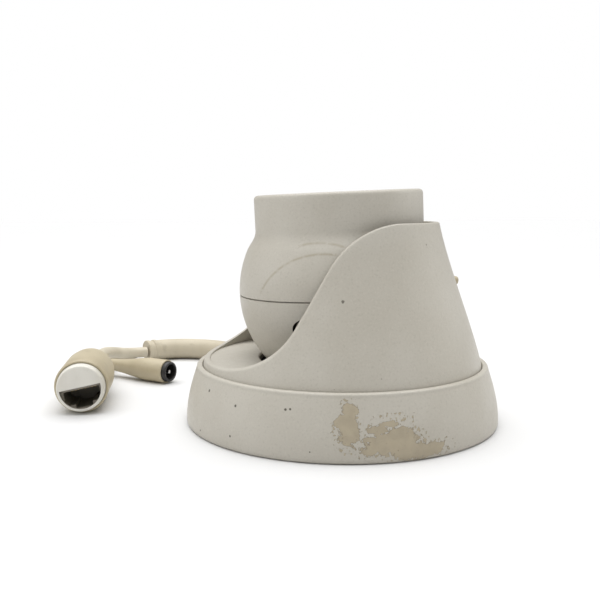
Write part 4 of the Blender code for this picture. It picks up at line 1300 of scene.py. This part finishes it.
def surroundings(strength):
    """Even light from all round, seen as plain white behind the object."""
    world = bpy.data.worlds.new("studio")
    world.use_nodes = True
    nodes, links = world.node_tree.nodes, world.node_tree.links
    backdrop = nodes.new("ShaderNodeBackground")
    blend = nodes.new("ShaderNodeMixShader")
    path = nodes.new("ShaderNodeLightPath")
    nodes["Background"].inputs["Color"].default_value = (1, 1, 1, 1)
    nodes["Background"].inputs["Strength"].default_value = strength
    backdrop.inputs["Color"].default_value = (1, 1, 1, 1)
    links.new(path.outputs["Is Camera Ray"], blend.inputs["Fac"])
    links.new(nodes["Background"].outputs["Background"], blend.inputs[1])
    links.new(backdrop.outputs["Background"], blend.inputs[2])
    links.new(blend.outputs["Shader"], nodes["World Output"].inputs["Surface"])
    return world


def floor_finish(base):
    finish = Finish("floor")
    cloud = finish.noise(120.0, 2.0)
    tint = finish.mix(finish.patchy(cloud), tinted(base, 0.995), base)
    return finish.made(tint, 0.7)


def soft_light(name, place, power):
    """A square light that faces the camera's subject."""
    light = bpy.data.lights.new(name, "AREA")
    light.size = SIDE_LIGHT_SIZE
    light.energy = power
    obj = bpy.data.objects.new(name, light)
    obj.matrix_world = facing(place, SIDE_LIGHT_AIM)
    bpy.context.collection.objects.link(obj)


class TURRET_OT_pigtail(bpy.types.Operator):
    """Lays the sleeved cable and its two leads, with the grommet, the socket head and the power jack"""

    bl_idname = "turret.pigtail"
    bl_label = "Pigtail"

    def execute(self, context):
        looks = context.scene.turret_leads
        exit_turn = Matrix.Rotation(math.radians(EXIT_TURN), 3, "Z")
        start = exit_turn @ Vector((EXIT_REACH + GAP, 0, SLEEVE_Z))
        points = (start, *SLEEVE_ROUTE)
        sleeve, route = lead("sleeve", points, SLEEVE_R, "sleeve_skin", "main_cable")
        ends = [grommet()]
        for number, back in enumerate(COLLARS_BACK, 1):
            ends.append(collar(f"sleeve_collar_{number}", route, back, looks))
        cord(route, ends)
        net, route = lead("network_lead", NET_ROUTE, NET_LEAD_R, "lead_sheath", "net_lead")
        cord(route, [*network_head(), frame["nodes"]["rj45_contacts"]])
        power, route = lead("power_lead", DC_ROUTE, DC_LEAD_R, "lead_sheath", "dc_lead")
        cord(route, power_jack())
        return {"FINISHED"}


def cord(route, pieces):
    route[0] * MM
    route_length(route) * MM


class TURRET_OT_base(bpy.types.Operator):
    """Makes the base ring with its rounded lip and worn paint"""

    bl_idname = "turret.base"
    bl_label = "Base ring"

    def execute(self, context):
        base_ring(context.scene.turret_shells)
        return {"FINISHED"}


class TURRET_OT_shroud(bpy.types.Operator):
    """Makes the swept shroud and its locking screw"""

    bl_idname = "turret.shroud"
    bl_label = "Shroud"

    def execute(self, context):
        shroud(context.scene.turret_shells)
        lock_screw()
        return {"FINISHED"}


class TURRET_OT_eye(bpy.types.Operator):
    """Makes the eye's two domes"""

    bl_idname = "turret.eye"
    bl_label = "Eye domes"

    def execute(self, context):
        front_dome(context.scene.turret_shells)
        rear_dome(context.scene.turret_shells)
        return {"FINISHED"}


class TURRET_OT_optics(bpy.types.Operator):
    """Makes the window, the lens and the ring of lights"""

    bl_idname = "turret.optics"
    bl_label = "Optics"

    def execute(self, context):
        window()
        lens()
        light_ring()
        return {"FINISHED"}


class TURRET_OT_finishes(bpy.types.Operator):
    """Gives every other part of the frame the finish of its slot"""

    bl_idname = "turret.finishes"
    bl_label = "Finishes"

    def execute(self, context):
        plain_paint = painted("plain_paint", context.scene.turret_shells)
        for part in frame["record"]["subparts"]:
            node = frame["nodes"][part["node"]]
            slot = part["material_slot"]
            finish = plain_paint if slot == "shell_paint" else finish_named(slot)
            node.data.materials.clear()
            node.data.materials.append(finish)
        return {"FINISHED"}


class TURRET_PT_panel(bpy.types.Panel):
    """Lists the sizes, the colours and the pieces"""

    bl_idname = "TURRET_PT_panel"
    bl_label = "Turret camera"
    bl_space_type = "VIEW_3D"
    bl_region_type = "UI"
    bl_category = "Turret"

    def draw(self, context):
        for group in PROPERTY_GROUPS:
            looks = getattr(context.scene, group)
            for key in looks.bl_rna.properties.keys():
                if key not in ("rna_type", "name"):
                    self.layout.prop(looks, key)
        for step in STEPS:
            self.layout.operator(step.bl_idname)


PROPERTY_GROUPS = {
    "turret_shells": TURRET_PG_shells,
    "turret_leads": TURRET_PG_leads,
    "turret_stage": TURRET_PG_stage,
}
STEPS = (
    TURRET_OT_stage,
    TURRET_OT_pigtail,
    TURRET_OT_base,
    TURRET_OT_shroud,
    TURRET_OT_eye,
    TURRET_OT_optics,
    TURRET_OT_finishes,
)
CLASSES = (*PROPERTY_GROUPS.values(), *STEPS, TURRET_PT_panel)


def register():
    for made in CLASSES:
        bpy.utils.register_class(made)
    for name, group in PROPERTY_GROUPS.items():
        setattr(bpy.types.Scene, name, bpy.props.PointerProperty(type=group))


def unregister():
    for name in PROPERTY_GROUPS:
        delattr(bpy.types.Scene, name)
    for made in reversed(CLASSES):
        bpy.utils.unregister_class(made)


def main():
    register()
    for step in STEPS:
        group, name = step.bl_idname.split(".")
        getattr(getattr(bpy.ops, group), name)()


if __name__ == "__main__":
    main()
